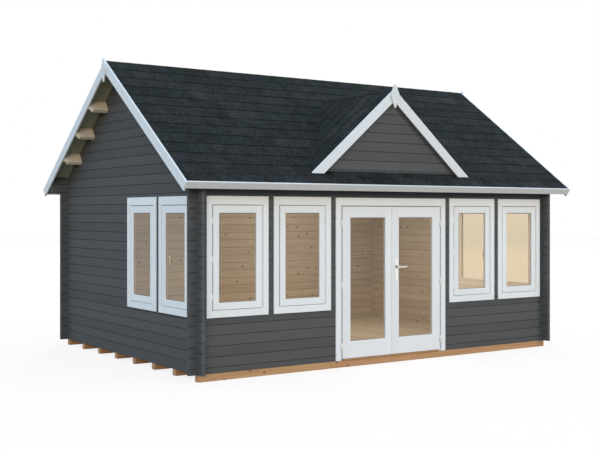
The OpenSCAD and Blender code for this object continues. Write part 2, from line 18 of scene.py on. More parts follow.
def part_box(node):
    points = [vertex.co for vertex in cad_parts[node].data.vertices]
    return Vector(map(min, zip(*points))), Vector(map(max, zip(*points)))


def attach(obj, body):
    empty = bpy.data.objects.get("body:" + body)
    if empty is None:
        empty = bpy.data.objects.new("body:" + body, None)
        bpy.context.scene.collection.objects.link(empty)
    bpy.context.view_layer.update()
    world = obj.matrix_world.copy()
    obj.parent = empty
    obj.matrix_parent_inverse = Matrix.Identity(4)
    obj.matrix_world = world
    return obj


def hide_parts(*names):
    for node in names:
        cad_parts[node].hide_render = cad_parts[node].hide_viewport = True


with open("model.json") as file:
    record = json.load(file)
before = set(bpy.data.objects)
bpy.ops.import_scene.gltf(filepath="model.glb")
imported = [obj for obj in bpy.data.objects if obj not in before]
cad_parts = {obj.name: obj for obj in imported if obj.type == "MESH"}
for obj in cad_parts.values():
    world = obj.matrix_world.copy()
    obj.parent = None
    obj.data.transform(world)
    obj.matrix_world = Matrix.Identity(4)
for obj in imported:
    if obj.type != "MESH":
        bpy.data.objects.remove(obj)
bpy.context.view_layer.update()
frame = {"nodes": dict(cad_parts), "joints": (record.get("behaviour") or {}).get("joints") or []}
joint_at = {joint["name"]: Vector(joint["pos_m"]) for joint in frame["joints"]}

# %% [markdown]
# ## Camera
# The house is seen from the front left, from eye height, with all uprights upright. A camera that is tilted
# down would let them lean, so it stays level, and a small shift moves the picture in its frame instead.

# %% Camera
scene = bpy.context.scene
scene.view_settings.view_transform = "Standard"
camera = bpy.data.objects.new("camera", bpy.data.cameras.new("camera"))
scene.collection.objects.link(camera)
camera.location = (-7.7106, -11.316, 1.798)
camera.rotation_euler = (math.radians(90), 0, math.radians(-34.02))
camera.data.sensor_width = 36
camera.data.lens = 60.12
camera.data.shift_y = -0.019
camera.data.clip_end = 200
scene.camera = camera
print("camera stands at", camera.location[:], "with a lens of", camera.data.lens, "mm")

# %% [markdown]
# ## Signals
# A material is a tree of nodes, joined from socket to socket. Written out, every sum in it takes a line to add
# a node and more lines to link it. Here a socket is wrapped as a signal, and signals can be added, multiplied
# and compared like numbers: each sign adds the math node that does it.

# %% Signals
class Signal:
    def __init__(self, socket):
        self.socket, self.tree = socket, socket.id_data

    def math(self, operation, *values):
        inputs = {f"i{k}": value for k, value in enumerate(values)}
        return read(self.tree, "Math", 0, {"operation": operation}, **inputs)

    def step(self, low, high):
        settings = {"interpolation_type": "SMOOTHSTEP"}
        return read(self.tree, "MapRange", "Result", settings, Value=self, From_Min=low, From_Max=high)

    def __add__(self, other):
        return self.math("ADD", self, other)

    def __sub__(self, other):
        return self.math("SUBTRACT", self, other)

    def __rsub__(self, other):
        return self.math("SUBTRACT", other, self)

    def __mul__(self, other):
        return self.math("MULTIPLY", self, other)

    def __truediv__(self, other):
        return self.math("DIVIDE", self, other)

    def __lt__(self, other):
        return self.math("LESS_THAN", self, other)

    def __gt__(self, other):
        return self.math("GREATER_THAN", self, other)

    def __abs__(self):
        return self.math("ABSOLUTE", self)


def send(tree, sockets, **values):
    for name, value in values.items():
        by_number = name[0] == "i" and name[1:].isdigit()
        socket = sockets[int(name[1:]) if by_number else name.replace("_", " ")]
        if isinstance(value, Signal):
            tree.links.new(value.socket, socket)
        else:
            socket.default_value = value


def put(tree, kind, settings=None, **inputs):
    node = tree.nodes.new("ShaderNode" + kind)
    for name, value in (settings or {}).items():
        setattr(node, name, value)
    send(tree, node.inputs, **inputs)
    return node


def read(tree, kind, output, settings=None, **inputs):
    return Signal(put(tree, kind, settings, **inputs).outputs[output])


def signals(sockets):
    return {socket.name: Signal(socket) for socket in sockets if socket.name}


print("signals ready")

# %% [markdown]
# ## Tools for materials
# A few nodes turn up in every finish: a noise, a mix of two colours, a colour made darker. A group is a small
# tree with a name that many materials can use. A new material starts with one shader, its skin.

# %% Tools for materials
def noise(place, scale, detail=2.0, roughness=0.5):
    return read(place.tree, "TexNoise", 0, Vector=place, Scale=scale, Detail=detail, Roughness=roughness)


def mix_colours(factor, a, b):
    return read(factor.tree, "Mix", 2, {"data_type": "RGBA"}, i0=factor, i6=a, i7=b)


def dimmed(colour, gain):
    return read(gain.tree, "VectorMath", 0, {"operation": "SCALE"}, Vector=colour, Scale=gain)


def spot(x, y, z):
    return read(x.tree, "CombineXYZ", 0, X=x, Y=y, Z=z)


def axes_of(place):
    return signals(put(place.tree, "SeparateXYZ", Vector=place).outputs)


def new_group(name, inputs, outputs):
    group = bpy.data.node_groups.new(name, "ShaderNodeTree")
    for way, sockets in (("INPUT", inputs), ("OUTPUT", outputs)):
        for label, kind in sockets.items():
            group.interface.new_socket(label, in_out=way, socket_type="NodeSocket" + kind)
    given = signals(group.nodes.new("NodeGroupInput").outputs)
    return group, given, group.nodes.new("NodeGroupOutput").inputs


def floats(*labels):
    return dict.fromkeys(labels, "Float")


def place_group(tree, group, **inputs):
    return signals(put(tree, "Group", {"node_tree": group}, **inputs).outputs)


def show(tree, shader):
    end = next(node for node in tree.nodes if node.type.startswith("OUTPUT"))
    tree.links.new(shader.socket, end.inputs[0])


def new_material(name):
    material = bpy.data.materials.new(name)
    material.use_nodes = True
    tree = material.node_tree
    tree.nodes.clear()
    put(tree, "OutputMaterial")
    skin = put(tree, "BsdfPrincipled")
    show(tree, Signal(skin.outputs[0]))
    return material, tree, skin


def add_bump(skin, height, distance):
    bump = read(height.tree, "Bump", 0, Height=height, Distance=distance, Strength=1.0)
    send(height.tree, skin.inputs, Normal=bump)


print("tools ready")

# %% [markdown]
# ## Timber figure
# Nearly all of the house is spruce. Its figure is long streaks along the board, with a knot here and there
# that the streaks bend round. A noise that is squeezed across the board gives streaks, and a cell pattern
# with only some cells kept gives knots. A wave texture would draw streaks too, but far too evenly. The figure is
# a node group because bare, stained and painted wood all use it.

# %% Timber figure group
timber_figure, given, result = new_group(
    "timber figure", floats("Along", "Across", "Seed", "Knots"), floats("Streak", "Shade", "Knot", "Height"))
shift = given["Seed"] * 7.31
along = given["Along"] + given["Seed"] * 3.7
cells = signals(put(timber_figure, "TexVoronoi", {"voronoi_dimensions": "2D"},
                    Vector=spot(along * 6.0, given["Across"] * 9.0, shift), Scale=1.0).outputs)
kept = read(timber_figure, "SeparateColor", 0, Color=cells["Color"]) < given["Knots"]
near = cells["Distance"].step(0.34, 0.08) * kept
knot = cells["Distance"].step(0.13, 0.06) * kept
bent = given["Across"] + near * 0.016
streak = noise(spot(along * 1.6, bent * 55.0, shift), 2.2, 4.0, 0.62).step(0.3, 0.72)
broad = noise(spot(along * 0.7, bent * 14.0, shift), 1.3)
send(timber_figure, result, Streak=streak, Shade=broad.step(0.25, 0.75), Knot=knot, Height=streak - knot * 0.6)
print("group:", timber_figure.name, "with", len(timber_figure.nodes), "nodes")

# %% [markdown]
# ## Log courses
# The wall solids already have a chamfer along every joint. The lowest log is a little taller, as none laps it.
# Each log is a tree of its own, though, so its tone and figure jump at the joint. Dividing the height by the
# log height gives a number for each course, and the place inside the course gives a thin dark line where dirt
# and shade gather in the joint. A mesh for each log could do the same, but each wall is one solid here.

# %% Log course group
LOG_H, LOG_LAP = 0.114, 0.008
log_courses, given, result = new_group(
    "log courses", floats("Height", "First joint"), floats("Number", "Joint", "Tone"))
place = (given["Height"] - given["First joint"]) / LOG_H
number = place.math("FLOOR", place)
joint = abs(place - number - 0.5).step(0.455, 0.495) * (place > -0.5)
tone = read(log_courses, "TexWhiteNoise", "Value", {"noise_dimensions": "1D"}, W=number)
send(log_courses, result, Number=number, Joint=joint, Tone=tone)
print("group:", log_courses.name, "for logs of", LOG_H, "m")

# %% [markdown]
# ## Paint film
# Paint on wood isn't one colour. The grain shows through as faint ridges, the roller leaves a soft mottle, and
# the gloss changes a little. One flat colour would look like plastic. The group takes the timber's streak and
# gives a colour, a gloss and a height, so walls and white boards can share it.

# %% Paint film group
paint_film, given, result = new_group(
    "paint film", {"Paint": "Color", "Place": "Vector", **floats("Streak", "Tone", "Depth")},
    {"Colour": "Color", **floats("Roughness", "Height")})
mottle, stipple = noise(given["Place"], 3.5, 3.0, 0.6), noise(given["Place"], 240.0)
amount = mottle - 0.5 + (given["Streak"] - 0.5) * 0.55 + (given["Tone"] - 0.5)
send(paint_film, result, Colour=dimmed(given["Paint"], amount * given["Depth"] + 1.0),
     Roughness=mottle * 0.16 + 0.44, Height=given["Streak"] * 0.7 + stipple * 0.3)
print("group:", paint_film.name, "with", len(paint_film.nodes), "nodes")

# %% [markdown]
# ## Bare wood colours
# Unpainted spruce goes from cream to honey, with brown knots. The group mixes three colours by the figure, so
# the same group can give pale floor boards, honey walls or orange pressure-treated bearers. A colour ramp would
# hold the colours inside the group. Mix nodes let them come in from outside.

# %% Bare wood group
bare_wood, given, result = new_group(
    "bare wood",
    {"Light": "Color", "Dark": "Color", "Knot colour": "Color", **floats("Streak", "Shade", "Knot", "Tone")},
    {"Colour": "Color", "Roughness": "Float"})
wood = mix_colours(given["Streak"] * 0.45 + given["Shade"] * 0.55, given["Light"], given["Dark"])
wood = dimmed(wood, given["Tone"] * 0.12 + 0.94)
send(bare_wood, result, Colour=mix_colours(given["Knot"], wood, given["Knot colour"]),
     Roughness=given["Streak"] * 0.2 + 0.55)
print("group:", bare_wood.name, "with", len(bare_wood.nodes), "nodes")

# %% [markdown]
# ## Wall finish
# Outside, the logs have dark grey paint. Inside they are bare spruce. Both faces belong to one solid, so the
# material asks where a point lies: nearer the middle of the house than the wall's own mid-line is inside.
# Picking faces by hand would work as well, but only until the solid is cut anew.
# Logs of the front run along X and logs of the sides along Y, so there are two versions of one recipe.

# %% Wall materials
WALL_W, WALL_D = -2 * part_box("left_gable_wall")[0].x, 2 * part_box("back_wall")[1].y
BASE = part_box("bearers")[1].z
PAINT_DEPTH = 0.02
# the second colour here is the dark of the painted shade and dirt in the log joints
GREY_PAINT, JOINT_DIRT_AND_SHADE = (0.1146, 0.1122, 0.1115, 1), (0.012, 0.011, 0.010, 1)
HONEY, HONEY_DARK, KNOT = (0.54, 0.485, 0.43, 1), (0.45, 0.395, 0.33, 1), (0.11, 0.06, 0.03, 1)


def painted(tree, figure, tone, paint, place, depth):
    return place_group(tree, paint_film, Paint=paint, Place=place, Streak=figure["Streak"], Tone=tone, Depth=depth)


def left_bare(tree, figure, tone, light, dark, knot_colour):
    return place_group(tree, bare_wood, Light=light, Dark=dark, Knot_colour=knot_colour, Tone=tone,
                       **{label: figure[label] for label in ("Streak", "Shade", "Knot")})


def wall_material(name, along, first_joint):
    material, tree, skin = new_material(name)
    place = read(tree, "TexCoord", "Object")
    axes = axes_of(place)
    courses = place_group(tree, log_courses, Height=axes["Z"], First_joint=first_joint)
    figure = place_group(tree, timber_figure, Along=axes[along], Across=axes["Z"], Seed=courses["Number"], Knots=0.14)
    paint = painted(tree, figure, courses["Tone"], GREY_PAINT, place, 0.13)
    wood = left_bare(tree, figure, courses["Tone"], HONEY, HONEY_DARK, KNOT)
    inner = (abs(axes["X"]) < WALL_W / 2 - PAINT_DEPTH) * (abs(axes["Y"]) < WALL_D / 2 - PAINT_DEPTH)
    colour = mix_colours(inner, paint["Colour"], wood["Colour"])
    # painted shade and dirt: a dark line along every log joint, weaker on the bare inside
    colour = mix_colours(courses["Joint"] * (0.7 - inner * 0.2), colour, JOINT_DIRT_AND_SHADE)
    rough = read(tree, "Mix", 0, i0=inner, i2=paint["Roughness"], i3=wood["Roughness"])
    send(tree, skin.inputs, Base_Color=colour, Roughness=rough, Specular_IOR_Level=0.012)
    add_bump(skin, paint["Height"], 0.0006)
    return material


front_log_finish = wall_material("front log finish", "X", BASE + LOG_LAP + LOG_H / 2)
side_log_finish = wall_material("side log finish", "Y", BASE + LOG_LAP + LOG_H)
print("materials:", front_log_finish.name, side_log_finish.name)

# %% [markdown]
# ## Finishes for boards
# Boards made below carry facts in their mesh: a UV map in metres with U along the board, a random tone for each
# board, and which faces are cut ends. A finish that reads them follows the board wherever it points, on a
# stile as on a rail. Object coordinates couldn't: the grain would run one way in both. Cut ends show rings.

# %% Board materials
def grain_axes(tree):
    return axes_of(read(tree, "UVMap", 0, {"uv_map": "grain"}))


def fact(tree, name):
    return read(tree, "Attribute", "Fac", {"attribute_name": name})


def board_figure(tree, knots):
    axes, tone = grain_axes(tree), fact(tree, "tone")
    seed = tone * 40.0
    figure = place_group(tree, timber_figure, Along=axes["X"], Across=axes["Y"], Seed=seed, Knots=knots)
    return axes, tone, seed, figure


def painted_boards(name, colour):
    material, tree, skin = new_material(name)
    _, tone, _, figure = board_figure(tree, 0.05)
    paint = painted(tree, figure, tone, colour, read(tree, "TexCoord", "Object"), 0.05)
    send(tree, skin.inputs, Base_Color=paint["Colour"], Roughness=paint["Roughness"])
    add_bump(skin, paint["Height"], 0.0003)
    return material


def bare_boards(name, light, dark, knot_colour=KNOT, knots=0.12, relief=0.0004):
    material, tree, skin = new_material(name)
    axes, tone, seed, figure = board_figure(tree, knots)
    wood = left_bare(tree, figure, tone, light, dark, knot_colour)
    rings = read(tree, "TexWave", 1, {"wave_type": "RINGS", "rings_direction": "Z"}, Scale=38.0, Distortion=2.5,
                 Detail=2.0, Vector=spot(axes["X"], axes["Y"], seed))
    colour = mix_colours(fact(tree, "end") * 0.8, wood["Colour"], mix_colours(rings, light, dark))
    send(tree, skin.inputs, Base_Color=colour, Roughness=wood["Roughness"])
    add_bump(skin, figure["Height"], relief)
    return material


trim_finish = painted_boards("white joinery paint", (0.92, 0.917, 0.92, 1))
# painted shade: the same white as the joinery, dimmed for the bargeboards, fascias, finials and dormer boards
shade_dimmed_white_finish = painted_boards("shade-dimmed white paint", (0.80, 0.81, 0.82, 1))
# painted light: the purlins' spruce is much paler than the other spruce, standing in for light falling on them under
# the gables
painted_light_pine_finish = bare_boards("bare spruce", (0.91, 0.785, 0.625, 1), (0.80, 0.65, 0.49, 1))
# painted shade: the roof boards are the same spruce, made darker and greener to stand in for the shade under the roof
shade_darkened_roof_board_finish = bare_boards("shade-darkened roof spruce", (0.40, 0.40, 0.29, 1), (0.32, 0.31, 0.215, 1))
floor_finish = bare_boards("floor spruce", (0.53, 0.475, 0.40, 1), (0.43, 0.375, 0.30, 1), knots=0.1)
bearer_finish = bare_boards("treated bearer wood", (0.60, 0.34, 0.165, 1), (0.45, 0.225, 0.095, 1),
                            (0.17, 0.06, 0.02, 1), relief=0.0008)
print("materials:", [m.name for m in bpy.data.materials if m.name.endswith(("paint", "spruce", "wood"))])

# %% [markdown]
# ## Shingle finish
# Roof shingles are bitumen strips with crushed slate pressed in: nearly black, speckled, quite matt. Some tabs
# lean to green and some to violet, as slate does. A material for each colour would do, but here the tab's tone
# picks a colour on a ramp, so one is enough. The top of each tab, under the butt of the next one, is painted
# darker: painted shade from that butt, with a little dirt.

# %% Shingle material
SLATES = {0.0: (0.0125, 0.0150, 0.0155, 1), 0.3: (0.0145, 0.0195, 0.0188, 1), 0.6: (0.0170, 0.0195, 0.0212, 1),
          0.85: (0.0198, 0.0208, 0.0216, 1), 1.0: (0.0240, 0.0270, 0.0270, 1)}
shingle_finish, tree, skin = new_material("slate shingle")
slate = put(tree, "ValToRGB", Fac=fact(tree, "tone"))
stops = slate.color_ramp.elements
stops[0].color, stops[1].color = SLATES[0.0], SLATES[1.0]
for stop in (0.3, 0.6, 0.85):
    stops.new(stop).color = SLATES[stop]
place = read(tree, "TexCoord", "Object")
coarse, grit, cloud = noise(place, 70.0, 1.0), noise(place, 300.0, 1.0), noise(place, 7.0)
speck = coarse.step(0.34, 0.68) + grit * 0.3 + (cloud - 0.45)
colour = dimmed(Signal(slate.outputs[0]), speck * 1.6 + 0.02)
# painted shade and a little dirt: the top of each tab, just under the next course's butt, is darkened as if in its
# shadow
butt_shade_and_dirt = grain_axes(tree)["Y"].step(0.187, 0.198)
colour = mix_colours(butt_shade_and_dirt * 0.75, colour, (0.004, 0.005, 0.006, 1))
send(tree, skin.inputs, Base_Color=colour, Roughness=0.88, Specular_IOR_Level=0.15)
add_bump(skin, coarse + grit, 0.0012)
print("material:", shingle_finish.name, "with", len(stops), "slate colours")

# %% [markdown]
# ## Glass and fittings
# Glass is a clear pane with a warm tint. It bends and mirrors light less than plain glass, as panes with a coat
# against glare do. For shadow rays the pane is simply transparent, because light should reach the room without
# the noise that refracted light brings. Fittings are brushed metal, enamel or rubber: one recipe, in which fine
# wear changes the gloss. The grey and the black rubber are also painted shade: they are laid where gaps,
# rebates and the lever's neck lie in shade.

# %% Glass and fitting materials
glass_finish, tree, skin = new_material("window glass")
haze = noise(read(tree, "TexCoord", "Object"), 2.0, 3.0).step(0.35, 0.8)
tint = mix_colours(haze, (0.86, 0.785, 0.66, 1), (0.845, 0.77, 0.645, 1))
send(tree, skin.inputs, Base_Color=tint, Roughness=haze * 0.03, Transmission_Weight=1.0, IOR=1.3)
clear = read(tree, "BsdfTransparent", 0, Color=(0.93, 0.89, 0.82, 1))
shadow = read(tree, "LightPath", "Is Shadow Ray")
show(tree, read(tree, "MixShader", 0, i0=shadow, i1=Signal(skin.outputs[0]), i2=clear))


def fitting_finish(name, colour, metallic, low, high, lines):
    material, tree, skin = new_material(name)
    place = read(tree, "Mapping", 0, Vector=read(tree, "TexCoord", "Object"), Scale=lines)
    wear = noise(place, 1.0, 3.0)
    rough = read(tree, "MapRange", 0, Value=wear, From_Min=0.3, From_Max=0.7, To_Min=low, To_Max=high)
    worn = [c * 0.86 for c in colour] + [1]
    send(tree, skin.inputs, Base_Color=mix_colours(wear, (*colour, 1), worn), Roughness=rough, Metallic=metallic)
    add_bump(skin, wear, 0.00005)
    return material


lever_finish = fitting_finish("brushed lever metal", (0.93, 0.91, 0.87), 1.0, 0.2, 0.34, (60, 900, 900))
hinge_finish = fitting_finish("pale hinge metal", (0.96, 0.945, 0.90), 1.0, 0.3, 0.45, (200, 200, 60))
plate_finish = fitting_finish("pale plate metal", (0.98, 0.965, 0.92), 1.0, 0.16, 0.26, (90, 90, 90))
handle_finish = fitting_finish("white handle enamel", (0.93, 0.92, 0.90), 0.0, 0.25, 0.4, (90, 90, 90))
# painted shade: the grey rubber is the seal round sashes and leaves, laid where the gaps lie in shade
seal_and_gap_shade_finish = fitting_finish("grey rubber for gap shade", (0.20, 0.20, 0.195), 0.0, 0.6, 0.75, (300, 300, 300))
# painted shade: the black rubber is the glazing tape and the lever collar, laid where rebates and the lever's neck
# lie in shade
black_shade_finish = fitting_finish("black rubber for shade", (0.03, 0.03, 0.032), 0.0, 0.6, 0.75, (300, 300, 300))
print("materials in all:", len(bpy.data.materials))

# %% [markdown]
# ## A builder for boards and turned parts
# Joiners ease every sharp edge, and that thin chamfer is what catches the light. A cube with a bevel modifier
# has one too, but here are hundreds of boards, so the points are worked out: three at every corner of a box.
# The builder gathers many parts, then makes one mesh of them with the UV map and the tones that the finishes
# read. Its dice are seeded by name, so each run is the same.

# %% Joinery builder
class Joinery:
    def __init__(self, name):
        self.name = name
        self.points, self.local, self.faces = [], [], []
        self.grain, self.tones, self.ends, self.rounded = [], [], [], []
        self.dice = random.Random(name)

    def face(self, corners, grain, tone, end=0.0, rounded=False):
        self.faces.append(corners)
        self.grain.extend(grain)
        self.tones.append(tone)
        self.ends.append(end)
        self.rounded.append(rounded)

    def board(self, low, high, along, ease=0.002, place=None):
        tone, shift = self.dice.random(), self.dice.random() * 20
        b, c = (along + 1) % 3, (along + 2) % 3
        first = len(self.points)
        for corner in product((0, 1), repeat=3):
            for on in range(3):
                cut = [0 if i == on else ease * (1 - 2 * corner[i]) for i in range(3)]
                p = Vector([(high if corner[i] else low)[i] + cut[i] for i in range(3)])
                self.local.append(p)
                self.points.append(place @ p if place else p)

        def at(on, sides):
            return first + 3 * (4 * sides[0] + 2 * sides[1] + sides[2]) + on

        def add(corners, end=0.0):
            spots = [self.local[i] for i in corners]
            grain = [(p[b] + 0.3, p[c]) if end else (p[along] + shift, p[b] + p[c]) for p in spots]
            self.face(corners, grain, tone, end)

        for on in range(3):
            j, k = (on + 1) % 3, (on + 2) % 3
            for side in (0, 1):
                ring = [{on: side, j: a, k: d} for a, d in ((0, 0), (1, 0), (1, 1), (0, 1))]
                add([at(on, r) for r in ring], float(on == along))
            for a, d in product((0, 1), repeat=2):
                ends = [{on: a, j: d, k: 0}, {on: a, j: d, k: 1}]
                add([at(on, ends[0]), at(on, ends[1]), at(j, ends[1]), at(j, ends[0])])
        for corner in product((0, 1), repeat=3):
            sides = dict(enumerate(corner))
            add([at(0, sides), at(1, sides), at(2, sides)])

    def rings(self, loops, endless=False):
        tone, first, count, sides = self.dice.random(), len(self.points), len(loops), len(loops[0])
        for loop in loops:
            self.points.extend(loop)
            self.local.extend(loop)
        for r in range(count if endless else count - 1):
            here, ahead = first + r * sides, first + (r + 1) % count * sides
            for s in range(sides):
                m = (s + 1) % sides
                grain = [(r * 0.01, s * 0.002)] * 4
                self.face([here + s, here + m, ahead + m, ahead + s], grain, tone, 0.0, not endless)
        for r in () if endless else (0, count - 1):
            self.face([first + r * sides + s for s in range(sides)], [(0, 0)] * sides, tone, 1.0)

    def turned(self, foot, profile, axis, sides):
        turn = Matrix.Rotation(-math.pi / 2, 3, "X") if axis == "Y" else Matrix.Identity(3)
        angles = [2 * math.pi * s / sides for s in range(sides)]
        loops = [[Vector((r * math.cos(a), r * math.sin(a), height)) for a in angles] for r, height in profile]
        self.rings([[Vector(foot) + turn @ p for p in loop] for loop in loops])

    def make(self, material, body, slot, stands_for=()):
        mesh = bpy.data.meshes.new(self.name)
        mesh.from_pydata(self.points, [], self.faces)
        mesh.uv_layers.new(name="grain").data.foreach_set("uv", [v for pair in self.grain for v in pair])
        mesh.attributes.new("tone", "FLOAT", "FACE").data.foreach_set("value", self.tones)
        mesh.attributes.new("end", "FLOAT", "FACE").data.foreach_set("value", self.ends)
        mesh.polygons.foreach_set("use_smooth", self.rounded)
        loose = bmesh.new()
        loose.from_mesh(mesh)
        bmesh.ops.recalc_face_normals(loose, faces=loose.faces)
        loose.to_mesh(mesh)
        loose.free()
        dress(mesh, self.name, material, body, stands_for)


def dress(mesh, name, material, body, stands_for):
    piece = bpy.data.objects.new(name, mesh)
    scene.collection.objects.link(piece)
    mesh.materials.append(material)
    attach(piece, body)
    if stands_for:
        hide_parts(*stands_for)
    print(f"{name}: {len(mesh.polygons)} faces, stands for {list(stands_for)}")


print("builder ready")

# %% [markdown]
# ## Eased copies of solids
# Bargeboards, purlins and bearers already have the right outline in the solids. Copying the mesh, joining its
# triangles back into flat faces and cutting the sharp edges keeps that outline and adds the eased edge. Faces
# that hang together are one board and share a tone. The grain has to run along each board, so the caller says
# which way that is for a face at a given place.

# %% Eased copy
def eased_copy(node, name, material, direction, ease=0.002):
    shape = bmesh.new()
    shape.from_mesh(frame["nodes"][node].data)
    for layer in list(shape.loops.layers.uv):
        shape.loops.layers.uv.remove(layer)
    bmesh.ops.remove_doubles(shape, verts=shape.verts, dist=0.00002)
    bmesh.ops.dissolve_limit(shape, angle_limit=0.01, verts=shape.verts, edges=shape.edges)
    sharp = [e for e in shape.edges if len(e.link_faces) == 2 and e.calc_face_angle() > 0.3]
    bmesh.ops.bevel(shape, geom=sharp, offset=ease, segments=1, affect="EDGES", clamp_overlap=True)
    bmesh.ops.recalc_face_normals(shape, faces=shape.faces)
    grain = shape.loops.layers.uv.new("grain")
    tone, end = shape.faces.layers.float.new("tone"), shape.faces.layers.float.new("end")
    dice, seen, boards = random.Random(name), set(), 0
    for start in shape.faces:
        if start in seen:
            continue
        boards += 1
        board_tone, shift, queue = dice.random(), dice.random() * 20, [start]
        seen.add(start)
        while queue:
            face = queue.pop()
            way = direction(face.calc_center_median())
            face[tone], face[end] = board_tone, float(abs(face.normal.dot(way)) > 0.9)
            side = way.cross(face.normal)
            side = side.normalized() if side.length > 0.3 else way.orthogonal().normalized()
            for loop in face.loops:
                p = loop.vert.co
                on_end, on_side = (side.dot(p) + 0.3, way.cross(side).dot(p)), (way.dot(p) + shift, side.dot(p))
                loop[grain].uv = on_end if face[end] else on_side
            for other in {f for edge in face.edges for f in edge.link_faces} - seen:
                seen.add(other)
                queue.append(other)
    mesh = bpy.data.meshes.new(name)
    shape.to_mesh(mesh)
    shape.free()
    dress(mesh, name, material, "house", [node])
    return boards


PITCH, DORMER_PITCH = math.radians(35.57), math.radians(40.7)


def along_x(place):
    return Vector((1, 0, 0))


def upright(place):
    return Vector((0, 0, 1))


def down_main_roof(place):
    return Vector((0, math.copysign(math.cos(PITCH), place.y), -math.sin(PITCH)))


def down_dormer(place):
    return Vector((math.copysign(math.cos(DORMER_PITCH), place.x), 0, -math.sin(DORMER_PITCH)))


for side in ("left", "right"):
    eased_copy(f"{side}_bargeboards", f"{side}_bargeboard_pair", shade_dimmed_white_finish, down_main_roof)
    eased_copy(f"{side}_finial", f"{side}_lozenge", shade_dimmed_white_finish, upright)
for side in ("front", "back"):
    eased_copy(f"{side}_fascia", f"{side}_eave_board", shade_dimmed_white_finish, along_x)
    eased_copy(f"{side}_purlins", f"{side}_purlin_set", painted_light_pine_finish, along_x, 0.003)
eased_copy("ridge_purlin", "ridge_beam", painted_light_pine_finish, along_x, 0.003)
eased_copy("dormer_bargeboards", "dormer_bargeboard_pair", shade_dimmed_white_finish, down_dormer)
eased_copy("dormer_finial", "dormer_lozenge", shade_dimmed_white_finish, upright)
print("bearers:", eased_copy("bearers", "bearer_row", bearer_finish, along_x, 0.003))

# %% [markdown]
# ## Roof boards
# The roof is close-boarded: narrow tongued boards from ridge to eave, bevelled on the face that shows. They are
# seen from below at the gables and from inside, where each bevel is a thin dark line. An array modifier could
# repeat one board, but then all would have one tone. The boards lie in the slope's own frame: X along the ridge,
# U down the slope, N out of it. One matrix turns that into the house.

# %% Roof boards
ROOF_BOARD_T, ROOF_BOARDS, BOARD_GAP = 0.018, 60, 0.0004
roof_low, roof_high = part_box("front_roof_boards")
ROOF_HALF = roof_high.x
ridge_under = roof_high.z - ROOF_BOARD_T / math.cos(PITCH)
slope_end = (ridge_under - roof_low.z) / math.sin(PITCH)


def axes_frame(origin, *axes):
    return Matrix.Translation(origin) @ Matrix([Vector(axis) for axis in axes]).transposed().to_4x4()


def slope_frame(side):
    c, s = math.cos(PITCH), math.sin(PITCH)
    return axes_frame((0, 0, ridge_under), (1, 0, 0), (0, side * c, -s), (0, side * s, c))


def row_of_boards(piece, low, high, count, gap, ease, place=None):
    step = (high[0] - low[0]) / count
    for k in range(count):
        x = low[0] + k * step
        piece.board((x + gap / 2, *low[1:]), (x + step - gap / 2, *high[1:]), 1, ease, place)
    print("boards:", count, "each", round(step, 3), "m wide")


for name, side in (("front", -1), ("back", 1)):
    boards = Joinery(f"{name}_roof_boarding")
    row_of_boards(boards, (-ROOF_HALF, 0, 0), (ROOF_HALF, slope_end, ROOF_BOARD_T), ROOF_BOARDS, BOARD_GAP, 0.003,
                  slope_frame(side))
    boards.make(shade_darkened_roof_board_finish, "house", "pine", [f"{name}_roof_boards"])
print("slope is", round(slope_end, 3), "m long")

# %% [markdown]
# ## Floor
# Floor boards lie across the bearers, so they run from front to back. Through the door they show as pale
# strips with fine dark joints. Lines in a material could show them, but boards have real gaps and a tone each.

# %% Floor boards
FLOOR_BOARDS, FLOOR_GAP = 46, 0.0006
floor_boards = Joinery("floor_boarding")
row_of_boards(floor_boards, *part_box("floor"), FLOOR_BOARDS, FLOOR_GAP, 0.0015)
floor_boards.make(floor_finish, "house", "pine", ["floor"])

# %% [markdown]
# ## Window sizes
# A window here is an outer casing of four boards, a lining through the wall, an inner casing, and a sash with
# its pane. The same window stands in three walls, so it is built once in a frame of its own: S to the right as
# seen from outside, D into the wall, Z up. Its sizes could be typed in, but then they would be wrong as soon as a
# solid changes. So they are read from the solids of the left wall.

# %% Window sizes
WINDOW_W, SASH_GAP, SEAT, LINING_T, STOP_W = 0.620, 0.0035, 0.010, 0.034, 0.012
SET, SET_END, FILM = 0.013, 0.004, 0.0002
half = WINDOW_W / 2
sash_low, sash_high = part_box("left_window_sashes")
casing_low, casing_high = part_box("left_window_frames")
pane_low, pane_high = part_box("left_window_glass")
LOG_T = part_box("back_wall")[1].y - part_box("back_wall")[0].y
GLASS_T, LEAF_T = pane_high.x - pane_low.x, sash_high.x - sash_low.x
CASING_FACE, CASING_BACK, SASH_FACE, SASH_STOP = (
    x + WALL_W / 2 for x in (casing_low.x, casing_high.x, sash_low.x, sash_high.x))
WINDOW_LOW, WINDOW_HIGH = sash_low.z - SASH_GAP, sash_high.z + SASH_GAP
window_y = [sash_low.y - SASH_GAP + half, sash_high.y + SASH_GAP - half]
outer_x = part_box("front_window_sashes")[1].x + SASH_GAP - half
inner_x = outer_x - (window_y[1] - window_y[0])
CASING_W = window_y[0] - casing_low.y - half - SET
CASING_TOP = casing_high.z - WINDOW_HIGH - SET_END


def grown(opening, by, by_end=None):
    ends = by if by_end is None else by_end
    return opening[0] - by, opening[1] - ends, opening[2] + by, opening[3] + ends


clear_opening = (-half, WINDOW_LOW, half, WINDOW_HIGH)
casing_opening = grown(clear_opening, SET, SET_END)
casing_outer = (casing_low.y - window_y[0], casing_low.z, window_y[0] - casing_low.y, casing_high.z)
lining_outer, stop_opening = grown(clear_opening, LINING_T), grown(clear_opening, -STOP_W)
sash_outer = grown(clear_opening, -SASH_GAP)
pane_half = window_y[0] - pane_low.y - SEAT
pane_opening = (-pane_half, pane_low.z + SEAT, pane_half, pane_high.z - SEAT)
print("window:", WINDOW_W, "by", round(WINDOW_HIGH - WINDOW_LOW, 3), "m, casing", round(CASING_W, 3), "m wide")

